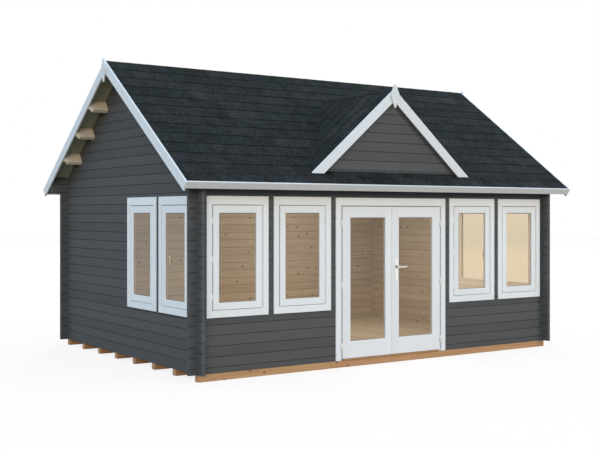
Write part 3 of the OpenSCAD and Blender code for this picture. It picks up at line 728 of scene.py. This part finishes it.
# %% [markdown]
# ## Casings and sashes
# In a casing the head and the sill run across, and the uprights stand between them. In a sash the uprights, its
# stiles, run through and the rails stand between them. One ring with a hole would have its grain across two of
# the sides, so each is four boards with a joint that shows. A window has its hinges on one side, -1 or 1.

# %% Casings and sashes
walls = {
    "front": [(axes_frame((x, -WALL_D / 2, 0), (1, 0, 0), (0, 1, 0), (0, 0, 1)), hinge)
              for x, hinge in ((-outer_x, -1), (-inner_x, 1), (inner_x, -1), (outer_x, 1))],
    "left": [(axes_frame((-WALL_W / 2, y, 0), (0, -1, 0), (1, 0, 0), (0, 0, 1)), hinge)
             for y, hinge in zip(window_y, (1, -1))],
    "right": [(axes_frame((WALL_W / 2, y, 0), (0, 1, 0), (-1, 0, 0), (0, 0, 1)), hinge)
              for y, hinge in zip(window_y, (-1, 1))],
}


def ring_of_boards(piece, place, opening, outer, depth, ease=0.002, stiles_run_through=False):
    (s0, z0, s1, z1), (a0, b0, a1, b1), (d0, d1) = opening, outer, depth
    left, right, low, high = (s0, s1, b0, b1) if stiles_run_through else (a0, a1, z0, z1)
    rails = [((left, d0, b0), (right, d1, z0), 0), ((left, d0, z1), (right, d1, b1), 0)]
    stiles = [((a0, d0, low), (s0, d1, high), 2), ((s1, d0, low), (a1, d1, high), 2)]
    for start, end, along in stiles + rails if stiles_run_through else rails + stiles:
        piece.board(start, end, along, ease, place)


for wall, windows in walls.items():
    frames, sashes = Joinery(f"{wall}_window_casings"), Joinery(f"{wall}_window_casements")
    for place, _ in windows:
        ring_of_boards(frames, place, casing_opening, casing_outer, (CASING_FACE, 0))
        ring_of_boards(frames, place, clear_opening, lining_outer, (FILM, SASH_STOP), 0.0015)
        ring_of_boards(frames, place, stop_opening, lining_outer, (SASH_STOP, LOG_T), 0.0015)
        ring_of_boards(frames, place, stop_opening, casing_outer, (LOG_T, CASING_BACK))
        ring_of_boards(sashes, place, pane_opening, sash_outer, (SASH_FACE, SASH_STOP), 0.0012, True)
    frames.make(trim_finish, "house", "trim_paint", [f"{wall}_window_frames"])
    sashes.make(trim_finish, "house", "trim_paint", [f"{wall}_window_sashes"])

# %% [markdown]
# ## Glazing beads
# A pane is held by thin beads, cut on a slope and mitred at the corners. Each bead is a small wedge in section,
# swept once round the opening: four loops give true mitres, where a bevelled curve would pinch its corners. Seen
# from outside the bead is the thin bright line beside the glass. Between bead and glass lies a black tape, which
# leaves a dark hairline round every pane: painted shade of the rebate. A flat grey seal on the lining paints the
# shade of the gap round every sash the same way.

# %% Glazing beads
SEAL_FACE, SEAL_GAP, SEAL_LAP, SEAL_EASE = -0.0014, 0.0005, 0.0025, 0.0003
BEAD_W, BEAD_SET, INNER_BEAD_W, INNER_BEAD_SET, TAPE_W, TAPE_T = 0.005, 0.004, 0.009, 0.003, 0.0085, 0.001


def bead_ring(piece, place, opening, pane, edge, width):
    s0, z0, s1, z1 = opening
    section = [(0, pane), (width, pane), (width * 0.45, edge), (0, edge)]
    corners = [(s0, z0, 1, 1), (s1, z0, -1, 1), (s1, z1, -1, -1), (s0, z1, 1, -1)]
    piece.rings([[place @ Vector((s + ds * w, d, z + dz * w)) for w, d in section] for s, z, ds, dz in corners],
                endless=True)


def glaze(beads, tape, place, opening, face):
    pane = face + (LEAF_T - GLASS_T) / 2
    bead_ring(beads, place, opening, pane, face + BEAD_SET, BEAD_W)
    bead_ring(beads, place, opening, pane + GLASS_T, face + LEAF_T - INNER_BEAD_SET, INNER_BEAD_W)
    # black tape round the pane: painted shade of the rebate
    bead_ring(tape, place, opening, pane, pane - TAPE_T, TAPE_W)


for wall, windows in walls.items():
    beads, tape = Joinery(f"{wall}_glazing_beads"), Joinery(f"{wall}_glazing_tape")
    shade_seals = Joinery(f"{wall}_window_seals")
    for place, _ in windows:
        glaze(beads, tape, place, pane_opening, SASH_FACE)
        # grey seal round the sash: painted shade of the gap
        ring_of_boards(shade_seals, place, grown(sash_outer, SEAL_GAP), grown(clear_opening, SEAL_LAP),
                       (SEAL_FACE, FILM), SEAL_EASE)
    beads.make(trim_finish, "house", "trim_paint")
    tape.make(black_shade_finish, "house", "glass")
    shade_seals.make(seal_and_gap_shade_finish, "house", "trim_paint")

# %% [markdown]
# ## Window hinges and handles
# Every casement hangs on three lift-off hinges, each of two pale knuckles with domed ends, in the strip beside
# the sash. A knuckle is turned from a profile, as on a lathe, because a plain cylinder would miss the domes.
# Inside, a handle closes the sash: a foot, a neck, and a grip that hangs down. Each of these is a board with its
# half width, its depths, its heights, the way of its grain and its eased edge.

# %% Window hinges and handles
HINGE_DROPS, HINGE_HALF, HINGE_SPLIT, HINGE_R = (0.165, 0.578, 0.991), 0.034, 0.0004, 0.0062
HINGE_IN, HINGE_OUT, FLAP_HALF = 0.0075, 0.0085, 0.002
HANDLE_Z, HANDLE_IN = WINDOW_LOW + 0.551, 0.037
HANDLE_PARTS = [(0.013, 0, 0.008, -0.035, 0.035, 2, 0.003), (0.009, 0.008, 0.046, -0.008, 0.010, 1, 0.003),
                (0.008, 0.038, 0.052, -0.096, 0.014, 2, 0.004)]


def knuckle(piece, foot, height, radius):
    dome, tip = radius * 0.35, radius * 0.55
    piece.turned(foot, [(tip, 0), (radius, dome), (radius, height - dome), (tip, height)], "Z", 14)


for wall, windows in walls.items():
    hinges, handles = Joinery(f"{wall}_window_hinges"), Joinery(f"{wall}_window_handles")
    for place, hinge in windows:
        s = hinge * (half + SET - HINGE_IN)
        for drop in HINGE_DROPS:
            z = WINDOW_HIGH - drop
            for foot in (z - HINGE_HALF, z + HINGE_SPLIT):
                knuckle(hinges, place @ Vector((s, -HINGE_OUT, foot)), HINGE_HALF - HINGE_SPLIT, HINGE_R)
            hinges.board((s - FLAP_HALF, -0.004, z - HINGE_HALF), (s + FLAP_HALF, 0.001, z + HINGE_HALF),
                         2, 0.0005, place)
        s = -hinge * (half - HANDLE_IN)
        for w, d0, d1, z0, z1, along, ease in HANDLE_PARTS:
            handles.board((s - w, SASH_STOP + d0, HANDLE_Z + z0), (s + w, SASH_STOP + d1, HANDLE_Z + z1),
                          along, ease, place)
    hinges.make(hinge_finish, "house", "steel")
    handles.make(handle_finish, "house", "handle_paint")

# %% [markdown]
# ## Door frame
# The double door's frame is made like the windows' frames, only larger: casing, lining, stop and inner casing. It
# has no sill, so the ring of four boards doesn't fit, and the uprights and heads are listed instead. A brown
# threshold lies between the stops, where feet would wear white paint.

# %% Door frame
DOOR_SET, HEAD_SET, STOP_SET, SILL_T, FIT = 0.025, 0.004, 0.006, 0.014, 0.0004
door_low, door_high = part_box("door_frame")
WALL_Y, CASING_Y, FRAME_BACK = -WALL_D / 2, door_low.y, door_high.y
LEAF_Y, LEAF_BACK, WALL_BACK = WALL_Y + SASH_FACE, WALL_Y + SASH_STOP, WALL_Y + LOG_T
STOP_Y, STOP_LOW = LEAF_BACK + STOP_SET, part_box("floor")[1].z + FIT
casing_out = door_high.x
casing_in = casing_out - CASING_W
door_half = casing_in - DOOR_SET
casing_z, head_top = door_high.z - CASING_TOP, door_high.z
DOOR_HEAD = casing_z - HEAD_SET
door_boards = Joinery("door_casing")
for side in (-1, 1):
    for x0, x1, y0, y1, z0, z1 in (
            (casing_in, casing_out, CASING_Y, WALL_Y, BASE, casing_z),
            (door_half, door_half + LINING_T, WALL_Y, WALL_BACK, BASE, DOOR_HEAD),
            (door_half - STOP_W, door_half, STOP_Y, FRAME_BACK, STOP_LOW, DOOR_HEAD),
            (door_half, casing_out, WALL_BACK, FRAME_BACK, STOP_LOW, DOOR_HEAD)):
        a, b = sorted((side * x0, side * x1))
        door_boards.board((a, y0, z0), (b, y1, z1), 2)
for x, y0, y1, z0, z1 in (
        (casing_out, CASING_Y, WALL_Y, casing_z, head_top),
        (casing_in - FIT, WALL_Y, WALL_BACK, DOOR_HEAD, DOOR_HEAD + LINING_T),
        (door_half - STOP_W, STOP_Y, FRAME_BACK, DOOR_HEAD - STOP_W, DOOR_HEAD),
        (casing_out, WALL_BACK, FRAME_BACK, DOOR_HEAD, head_top)):
    door_boards.board((-x, y0, z0), (x, y1, z1), 0)
door_boards.make(trim_finish, "house", "trim_paint", ["door_frame"])
threshold = Joinery("door_threshold")
sill_x = door_half - STOP_W - FIT
threshold.board((-sill_x, CASING_Y, BASE), (sill_x, WALL_BACK, BASE + SILL_T), 0, 0.003)
threshold.make(bearer_finish, "house", "bearer_wood")

# %% [markdown]
# ## Door seals and painted gap shade
# The leaves close on the lining with the same grey seal as the sashes, and a second strip lies beside each casing.
# From a distance they are thin grey lines round the leaves: painted shade of the gaps. A dark gap would do that
# too, but light through the room would make it uneven, so the seal is a real strip.

# %% Door seals and gap shade
STILE, SEAL_RISE, EDGE_SHADE_STRIP_W = 0.113, 0.0035, 0.0045
LEAF_LOW, LEAF_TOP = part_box("left_door")[0].z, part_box("left_door")[1].z
LEAF_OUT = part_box("right_door_glass")[1].x - SEAT + STILE
seal_y, seal_top = (WALL_Y + SEAL_FACE, WALL_Y + FILM), DOOR_HEAD + SEAL_RISE
door_seals = Joinery("door_seals")
for side in (-1, 1):
    # grey strips beside the leaves and the casings: painted shade of the gaps
    for inner, outer in ((LEAF_OUT + SEAL_GAP, door_half + SEAL_LAP), (casing_in - EDGE_SHADE_STRIP_W, casing_in)):
        a, b = sorted((side * inner, side * outer))
        door_seals.board((a, seal_y[0], LEAF_LOW), (b, seal_y[1], seal_top), 2, SEAL_EASE)
door_seals.board((-LEAF_OUT, seal_y[0], LEAF_TOP + SEAL_GAP), (LEAF_OUT, seal_y[1], seal_top), 0, SEAL_EASE)
door_seals.make(seal_and_gap_shade_finish, "house", "trim_paint")

# %% [markdown]
# ## Door leaves
# The leaves are on bodies of their own, so each leaf, its beads and the upper half of its hinges ride together,
# while the frame and the lower knuckles stay. The leaves meet a little left of the middle. A strip on the left
# leaf's edge fills most of the gap, so the line stays pale. The left leaf is built as the right one, mirrored.

# %% Door leaves
HINGE_X, HINGE_Y = joint_at["right_door_hinge"].xy
KNUCKLE_R, KNUCKLE_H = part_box("door_hinges")[1].x - HINGE_X, 0.042
STRIP_W, STRIP_FACE, STRIP_BACK, STRIP_END = 0.0055, 0.009, 0.004, 0.002
FLAP_SINK, FLAP_T, FLAP_EASE = 0.0003, 0.004, 0.0006
low_hinge, high_hinge = LEAF_LOW + 0.138, LEAF_TOP - 0.201
leaf_edge = {"left_door": -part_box("left_door")[1].x, "right_door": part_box("right_door")[0].x}
fixed_hinges = Joinery("door_hinge_pins")
for body, side in (("left_door", -1), ("right_door", 1)):
    place, edge = Matrix.Diagonal((side, 1, 1, 1)), leaf_edge[body]
    leaf, upper = Joinery(f"{body}_leaf"), Joinery(f"{body}_knuckles")
    beads, tape = Joinery(f"{body}_beads"), Joinery(f"{body}_tape")
    low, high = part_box(f"{body}_glass")
    pane = ((low.x if side > 0 else -high.x) + SEAT, low.z + SEAT, LEAF_OUT - STILE, high.z - SEAT)
    ring_of_boards(leaf, place, pane, (edge, LEAF_LOW, LEAF_OUT, LEAF_TOP), (LEAF_Y, LEAF_BACK), 0.0012, True)
    if side < 0:
        leaf.board((edge - STRIP_W, LEAF_Y + STRIP_FACE, LEAF_LOW + STRIP_END),
                   (edge, LEAF_BACK - STRIP_BACK, LEAF_TOP - STRIP_END), 2, 0.001, place)
    glaze(beads, tape, place, pane, LEAF_Y)
    for z in (low_hinge, (low_hinge + high_hinge) / 2, high_hinge):
        top, foot, flap_y = z + HINGE_SPLIT, z - KNUCKLE_H, LEAF_Y + FLAP_SINK
        knuckle(upper, place @ Vector((HINGE_X, HINGE_Y, top)), KNUCKLE_H, KNUCKLE_R)
        upper.board((LEAF_OUT - FLAP_HALF, flap_y, top), (HINGE_X, flap_y + FLAP_T, z + KNUCKLE_H),
                    2, FLAP_EASE, place)
        knuckle(fixed_hinges, place @ Vector((HINGE_X, HINGE_Y, foot)), KNUCKLE_H, KNUCKLE_R)
        fixed_hinges.board((HINGE_X - FLAP_HALF, HINGE_Y, foot), (HINGE_X + FLAP_HALF, WALL_Y, z),
                           2, FLAP_EASE, place)
    leaf.make(trim_finish, body, "trim_paint", [body])
    beads.make(trim_finish, body, "trim_paint")
    tape.make(black_shade_finish, body, "glass")
    upper.make(hinge_finish, body, "steel")
fixed_hinges.make(hinge_finish, "house", "steel", ["door_hinges"])

# %% [markdown]
# ## Handle plates
# A long pale plate with rounded ends sits on each face of the right leaf, with a dark collar for the lever, a
# round lock below it and two screws. The collar's black is painted shade under the lever's neck. A bevelled box
# would have no round ends, so the plate is one outline swept through a few inset steps, which gives a soft rim.
# Collar, lock and screws are turned.

# %% Handle plates
PLATE_RIM = ((0, 0), (0, 0.0045), (0.0012, 0.0062), (0.004, 0.007))
SHADE_COLLAR_SET, SHADE_COLLAR = 0.0068, ((0.0168, 0), (0.0168, 0.0012), (0.0155, 0.0022))
PIVOT_DROP, LOCK_DROP, SCREW_SET, SCREW_SINK = 0.104, 0.092, 0.018, 0.006
plate_low, plate_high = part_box("handle_plates")
plate_half = (plate_high.x - plate_low.x) / 2
PIVOT = Vector((plate_low.x + plate_half, 0, plate_high.z - PIVOT_DROP))


def pill(half_w, low, high, steps=8):
    turns = [math.pi * k / steps for k in range(steps + 1)]
    return [(half_w * math.cos(start + a), centre + half_w * math.sin(start + a))
            for centre, start in ((high - half_w, 0.0), (low + half_w, math.pi)) for a in turns]


plates, screws, shade_collars = Joinery("lever_plates"), Joinery("lock_barrels"), Joinery("lever_collars")
for face_y, out in ((LEAF_Y, -1), (LEAF_BACK, 1)):
    plates.rings([[Vector((PIVOT.x + x, face_y + out * rise, z))
                   for x, z in pill(plate_half - inset, plate_low.z + inset, plate_high.z - inset)]
                  for inset, rise in PLATE_RIM])
    # dark collar: painted shade under the lever's neck
    shade_collars.turned((PIVOT.x, face_y + out * SHADE_COLLAR_SET, PIVOT.z), [(r, out * rise) for r, rise in SHADE_COLLAR], "Y", 24)
    for z, radius, rise in ((PIVOT.z - LOCK_DROP, 0.0088, 0.0037), (plate_high.z - SCREW_SET, 0.0035, 0.0014),
                            (plate_low.z + SCREW_SET, 0.0035, 0.0014)):
        screws.turned((PIVOT.x, face_y + out * SCREW_SINK, z),
                      [(radius, 0), (radius, out * rise), (radius * 0.82, out * (rise + 0.0008))], "Y", 20)
plates.make(plate_finish, "right_door", "handle_paint", ["handle_plates"])
screws.make(lever_finish, "right_door", "steel")
shade_collars.make(black_shade_finish, "right_door", "steel")

# %% [markdown]
# ## Lever
# The lever is a rod that comes straight out of the door, bends once and runs along it to a rounded tip. There is
# one on each side. A curve with a round bevel would do for an even rod. Here a ring of points is set across the
# path at every step, so that each has its own radius and the grip can swell and taper.

# %% Lever
BEND, BEND_STEPS, NECK, NECK_R, BEND_R, GRIP_IN = 0.014, 8, 0.005, 0.0086, 0.009, 0.0085
GRIP = ((0, 0.0094), (0.25, 0.0098), (0.5, 0.0098), (0.75, 0.0094),
        (0.93, 0.009), (0.97, 0.008), (0.99, 0.006), (1, 0.003))
lever_low, lever_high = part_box("door_lever")


def bent_rod(piece, path, radii, sides=16):
    up, angles, loops = Vector((0, 0, 1)), [2 * math.pi * s / sides for s in range(sides)], []
    for k, (centre, radius) in enumerate(zip(path, radii)):
        ahead = path[min(k + 1, len(path) - 1)] - path[max(k - 1, 0)]
        across = ahead.normalized().cross(up).normalized()
        loops.append([centre + radius * (math.cos(a) * across + math.sin(a) * up) for a in angles])
    piece.rings(loops)


lever = Joinery("lever_rod")
for y0, y1 in ((LEAF_Y + NECK, lever_low.y + GRIP_IN), (LEAF_BACK - NECK, lever_high.y - GRIP_IN)):
    out = math.copysign(1, y1 - y0)
    places = [(0, y0), (0, y1 - out * BEND)]
    for k in range(1, BEND_STEPS):
        a = math.pi / 2 * k / BEND_STEPS
        places.append((BEND * (1 - math.cos(a)), y1 - out * BEND * (1 - math.sin(a))))
    places += [(BEND + (lever_high.x - PIVOT.x - BEND) * t, y1) for t, _ in GRIP]
    radii = [NECK_R] * 2 + [BEND_R] * (BEND_STEPS - 1) + [radius for _, radius in GRIP]
    bent_rod(lever, [Vector((PIVOT.x + x, y, PIVOT.z)) for x, y in places], radii)
lever.make(lever_finish, "door_lever", "steel", ["door_lever"])

# %% [markdown]
# ## Slabs cut to an outline
# A shingle is a thin slab, cut where it meets the edge of the roof. Boolean cuts would be slow for hundreds of
# tabs. So its flat outline is clipped first, edge by edge, to the slope's outline: a rectangle on the main roof,
# a triangle on the dormer. A function gives the height of its top at each corner.

# %% Slabs
def clip(polygon, outline):
    for (ax, ay), (bx, by) in zip(outline, outline[1:] + outline[:1]):
        kept = []
        for p, q in zip(polygon, polygon[1:] + polygon[:1]):
            dp, dq = ((bx - ax) * (v[1] - ay) - (by - ay) * (v[0] - ax) for v in (p, q))
            if dp >= 0:
                kept.append(p)
            if (dp >= 0) != (dq >= 0):
                t = dp / (dp - dq)
                kept.append((p[0] + t * (q[0] - p[0]), p[1] + t * (q[1] - p[1])))
        polygon = kept
        if len(polygon) < 3:
            return []
    return polygon


def slab(piece, place, polygon, under, height, tone, grain):
    first, n = len(piece.points), len(polygon)
    piece.points += [place @ Vector((x, u, under)) for x, u in polygon]
    piece.points += [place @ Vector((x, u, height(x, u))) for x, u in polygon]
    piece.local.extend(piece.points[first:])
    uv = [grain(x, u) for x, u in polygon]
    piece.face([first + n + k for k in range(n)], uv, tone)
    piece.face([first + k for k in reversed(range(n))], list(reversed(uv)), tone)
    for k in range(n):
        m = (k + 1) % n
        piece.face([first + k, first + m, first + n + m, first + n + k], [uv[k], uv[m], uv[m], uv[k]], tone)


print("slabs ready")

# %% [markdown]
# ## Shingles
# Each course is a row of tabs of random width, on a layer of felt. A tab is thickest at its lower edge, where it
# lies on the next course down, so every course casts a thin shadow. A bump could paint the courses on a flat
# roof, but it casts no shadow and leaves the edges straight.

# %% Shingle courses
COURSE, LAST_BUTT, TAB_W, SLOT, RIDGE_LAP = 0.2036, 2.411, 0.36, 0.0015, 0.012
SHINGLE_T, FELT_T, TAB_TOP, TAB_SWELL, LIFT, DROP = 0.006, 0.001, 0.0022, 0.0036, 0.0008, 0.003
BUTT_SPARE = 0.01


def lay_courses(piece, place, outline, boards_top, last_butt, stop_u):
    dice, tabs, row = piece.dice, 0, 0
    low_x, high_x = min(x for x, _ in outline), max(x for x, _ in outline)
    end_u = butt = max(u for _, u in outline)
    felt_top = boards_top + FELT_T
    slab(piece, place, outline, boards_top + FILM, lambda x, u: felt_top, 0.05, lambda x, u: (x, 0.2))
    while butt > stop_u:
        top = last_butt - row * COURSE
        x = low_x - TAB_W * dice.random()
        while x < high_x:
            width = TAB_W * (0.5 + dice.random())
            lift, drop = LIFT * dice.random(), DROP * (dice.random() - 0.5)
            low_u, left, right = min(butt + drop, end_u), x + SLOT / 2, x + width - SLOT / 2
            shape = clip([(left, top), (right, top), (right, low_u), (left, low_u)], outline)
            if shape:
                swell = TAB_SWELL + lift
                slab(piece, place, shape, felt_top,
                     lambda px, u: boards_top + TAB_TOP + swell * max(0.0, 1 - (low_u - u) / COURSE),
                     dice.random(), lambda px, u: (px - x, low_u - u))
                tabs += 1
            x += width
        butt, row = top, row + 1
    print("tabs:", tabs)


first_butt = LAST_BUTT % COURSE
for name, side in (("front", -1), ("back", 1)):
    courses = Joinery(f"{name}_shingle_courses")
    outline = [(-ROOF_HALF, -RIDGE_LAP), (ROOF_HALF, -RIDGE_LAP), (ROOF_HALF, slope_end), (-ROOF_HALF, slope_end)]
    lay_courses(courses, slope_frame(side), outline, ROOF_BOARD_T, LAST_BUTT, first_butt + BUTT_SPARE)
    courses.make(shingle_finish, "house", "shingle", [f"{name}_shingles"])

# %% [markdown]
# ## Dormer shingles
# The dormer is a small gable on the main slope, so each half of its roof is a triangle. Its strips run down the
# slope, beside the bargeboards. The same courses serve, in a frame that has U toward the front.

# %% Dormer shingles
DORMER_BUTT = 0.13
dormer_low, dormer_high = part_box("dormer_shingles")
dormer_length = dormer_high.y - dormer_low.y
dormer_slope = dormer_high.x / math.cos(DORMER_PITCH)


def dormer_frame(side):
    c, s = math.cos(DORMER_PITCH), math.sin(DORMER_PITCH)
    top = (0, dormer_high.y, dormer_high.z - SHINGLE_T / c)
    return axes_frame(top, (side * c, 0, -s), (0, -1, 0), (side * s, 0, c))


dormer_courses = Joinery("dormer_shingle_courses")
triangle = [(0, 0), (dormer_slope, dormer_length), (0, dormer_length)]
for side in (-1, 1):
    lay_courses(dormer_courses, dormer_frame(side), triangle, 0, dormer_length - DORMER_BUTT, BUTT_SPARE)
dormer_courses.make(shingle_finish, "house", "shingle", ["dormer_shingles"])

# %% [markdown]
# ## Ridge caps
# Along the ridge single tabs are folded over both slopes, each lapping the next. They come down to the first
# course, so from the front they look like one more row. One long sheet would hide the laps, so each cap is a slab
# on both slopes with one tone. The dormer's ridge has narrower ones.

# %% Ridge caps
CAP_STEP, CAP_LIFT, CAP_TOP, DORMER_CAP_W, DORMER_CAP_TOP = 0.26, 0.002, 0.0045, 0.05, 0.0072
caps = Joinery("ridge_caps")
count = round(2 * ROOF_HALF / CAP_STEP)
step = 2 * ROOF_HALF / count
fold = -(ROOF_BOARD_T + SHINGLE_T) * math.tan(PITCH)
for k in range(count):
    x0, tone = -ROOF_HALF + k * step, caps.dice.random()
    shape = [(x0, fold), (x0 + step, fold), (x0 + step, first_butt), (x0, first_butt)]
    for side in (-1, 1):
        slab(caps, slope_frame(side), shape, ROOF_BOARD_T + FELT_T,
             lambda x, u: ROOF_BOARD_T + CAP_TOP + CAP_LIFT * (x0 + step - x) / step, tone, lambda x, u: (x, 0.1))
count = round(dormer_length / CAP_STEP)
step = dormer_length / count
for k in range(count):
    u0, tone = k * step, caps.dice.random()
    for side in (-1, 1):
        shape = clip([(-SHINGLE_T, u0), (DORMER_CAP_W, u0), (DORMER_CAP_W, u0 + step), (-SHINGLE_T, u0 + step)],
                     [(-0.01, -0.1), (dormer_slope, dormer_length), (-0.01, dormer_length)])
        slab(caps, dormer_frame(side), shape, FELT_T, lambda x, u: DORMER_CAP_TOP + CAP_LIFT * (u - u0) / step,
             tone, lambda x, u: (x, 0.1))
caps.make(shingle_finish, "house", "shingle")

# %% [markdown]
# ## Finishes on the solids that stay
# Walls, glass and the hidden dormer boards are right as they are, so they keep their solids. A copy would only add
# weight. Each mesh has a list of materials, which is emptied before the finish goes in.

# %% Finish the remaining solids
finishes = {
    front_log_finish: ["front_wall_left", "front_wall_right", "front_wall_header", "back_wall", "dormer_wall"],
    side_log_finish: ["left_gable_wall", "right_gable_wall"],
    glass_finish: [n for n in frame["nodes"] if n.endswith("glass")],
    shade_dimmed_white_finish: ["dormer_roof_boards"],
}
for material, names in finishes.items():
    for name in names:
        slots = frame["nodes"][name].data.materials
        slots.clear()
        slots.append(material)
print("finished solids:", sum(len(names) for names in finishes.values()))

# %% [markdown]
# ## Floor and sky
# The camera, metal and glass see white behind the house, but only the sky and the lamps light it. The floor adds
# its own glow for the same three kinds of ray, so it looks white and still takes a soft shadow. More light would
# make the floor white as well, but it would also wash out the white boards.

# %% Floor and sky
def seen_directly(tree):
    rays = signals(put(tree, "LightPath").outputs)
    total = rays["Is Camera Ray"] + (rays["Is Glossy Ray"] + rays["Is Transmission Ray"])
    total.socket.node.use_clamp = True
    return total


REACH = 60
floor_mesh = bpy.data.meshes.new("studio_floor")
corners = [(-REACH, -REACH, 0), (REACH, -REACH, 0), (REACH, REACH, 0), (-REACH, REACH, 0)]
floor_mesh.from_pydata(corners, [], [(0, 1, 2, 3)])
studio_floor = bpy.data.objects.new("studio_floor", floor_mesh)
scene.collection.objects.link(studio_floor)
floor_paint, tree, skin = new_material("studio floor paint")
send(tree, skin.inputs, Base_Color=(0.195, 0.16, 0.115, 1), Roughness=0.9, Specular_IOR_Level=0.0)
glow = read(tree, "Emission", 0, Color=(0.85, 0.84, 0.86, 1), Strength=seen_directly(tree))
show(tree, read(tree, "AddShader", 0, i0=Signal(skin.outputs[0]), i1=glow))
floor_mesh.materials.append(floor_paint)

world = bpy.data.worlds.new("studio sky")
scene.world = world
world.use_nodes = True
tree = world.node_tree
tree.nodes.clear()
put(tree, "OutputWorld")
sky = read(tree, "Background", 0, Color=(0.495, 0.74, 1.0, 1), Strength=1.18)
white = read(tree, "Background", 0, Color=(1, 1, 1, 1), Strength=1.0)
show(tree, read(tree, "MixShader", 0, i0=seen_directly(tree), i1=sky, i2=white))
print("floor reaches", REACH, "m each way under the", world.name)

# %% [markdown]
# ## Lamps
# The house stands in two wide, warm glows, from the front left and the front right, under the cool even sky. So
# the front looks neutral, the left side cool, and what is under the eaves falls into shade. A third lamp does
# the same for the back. A small one lights the room, as the sun through the far windows would. A sun lamp would
# draw hard edges. Wide lamps far away give the soft shadow of a bright, hazy day.

# %% Lamps
def soft_lamp(name, place, target, size, power, colour):
    lamp = bpy.data.lights.new(name, "AREA")
    lamp.shape, lamp.energy, lamp.color = "ELLIPSE", power, colour
    lamp.size, lamp.size_y = size
    holder = bpy.data.objects.new(name, lamp)
    scene.collection.objects.link(holder)
    holder.location = place
    holder.rotation_euler = (Vector(target) - Vector(place)).to_track_quat("-Z", "Y").to_euler()
    holder.visible_camera = holder.visible_glossy = holder.visible_transmission = False


MIDDLE = (0, 0, 1.4)
soft_lamp("left_glow_lamp", (-28.0, -28.0, 9.8), MIDDLE, (24, 4), 4300, (1, 0.75, 0.45))
soft_lamp("right_glow_lamp", (24.3, -29.8, 13.2), MIDDLE, (14, 14), 4700, (1, 0.74, 0.43))
soft_lamp("back_lamp", (18, 30, 17), MIDDLE, (10, 10), 4500, (1, 0.78, 0.55))
soft_lamp("room_lamp", (0.6, 0, 2.6), (0.6, 0, 0), (2, 2), 52, (1, 0.95, 0.88))
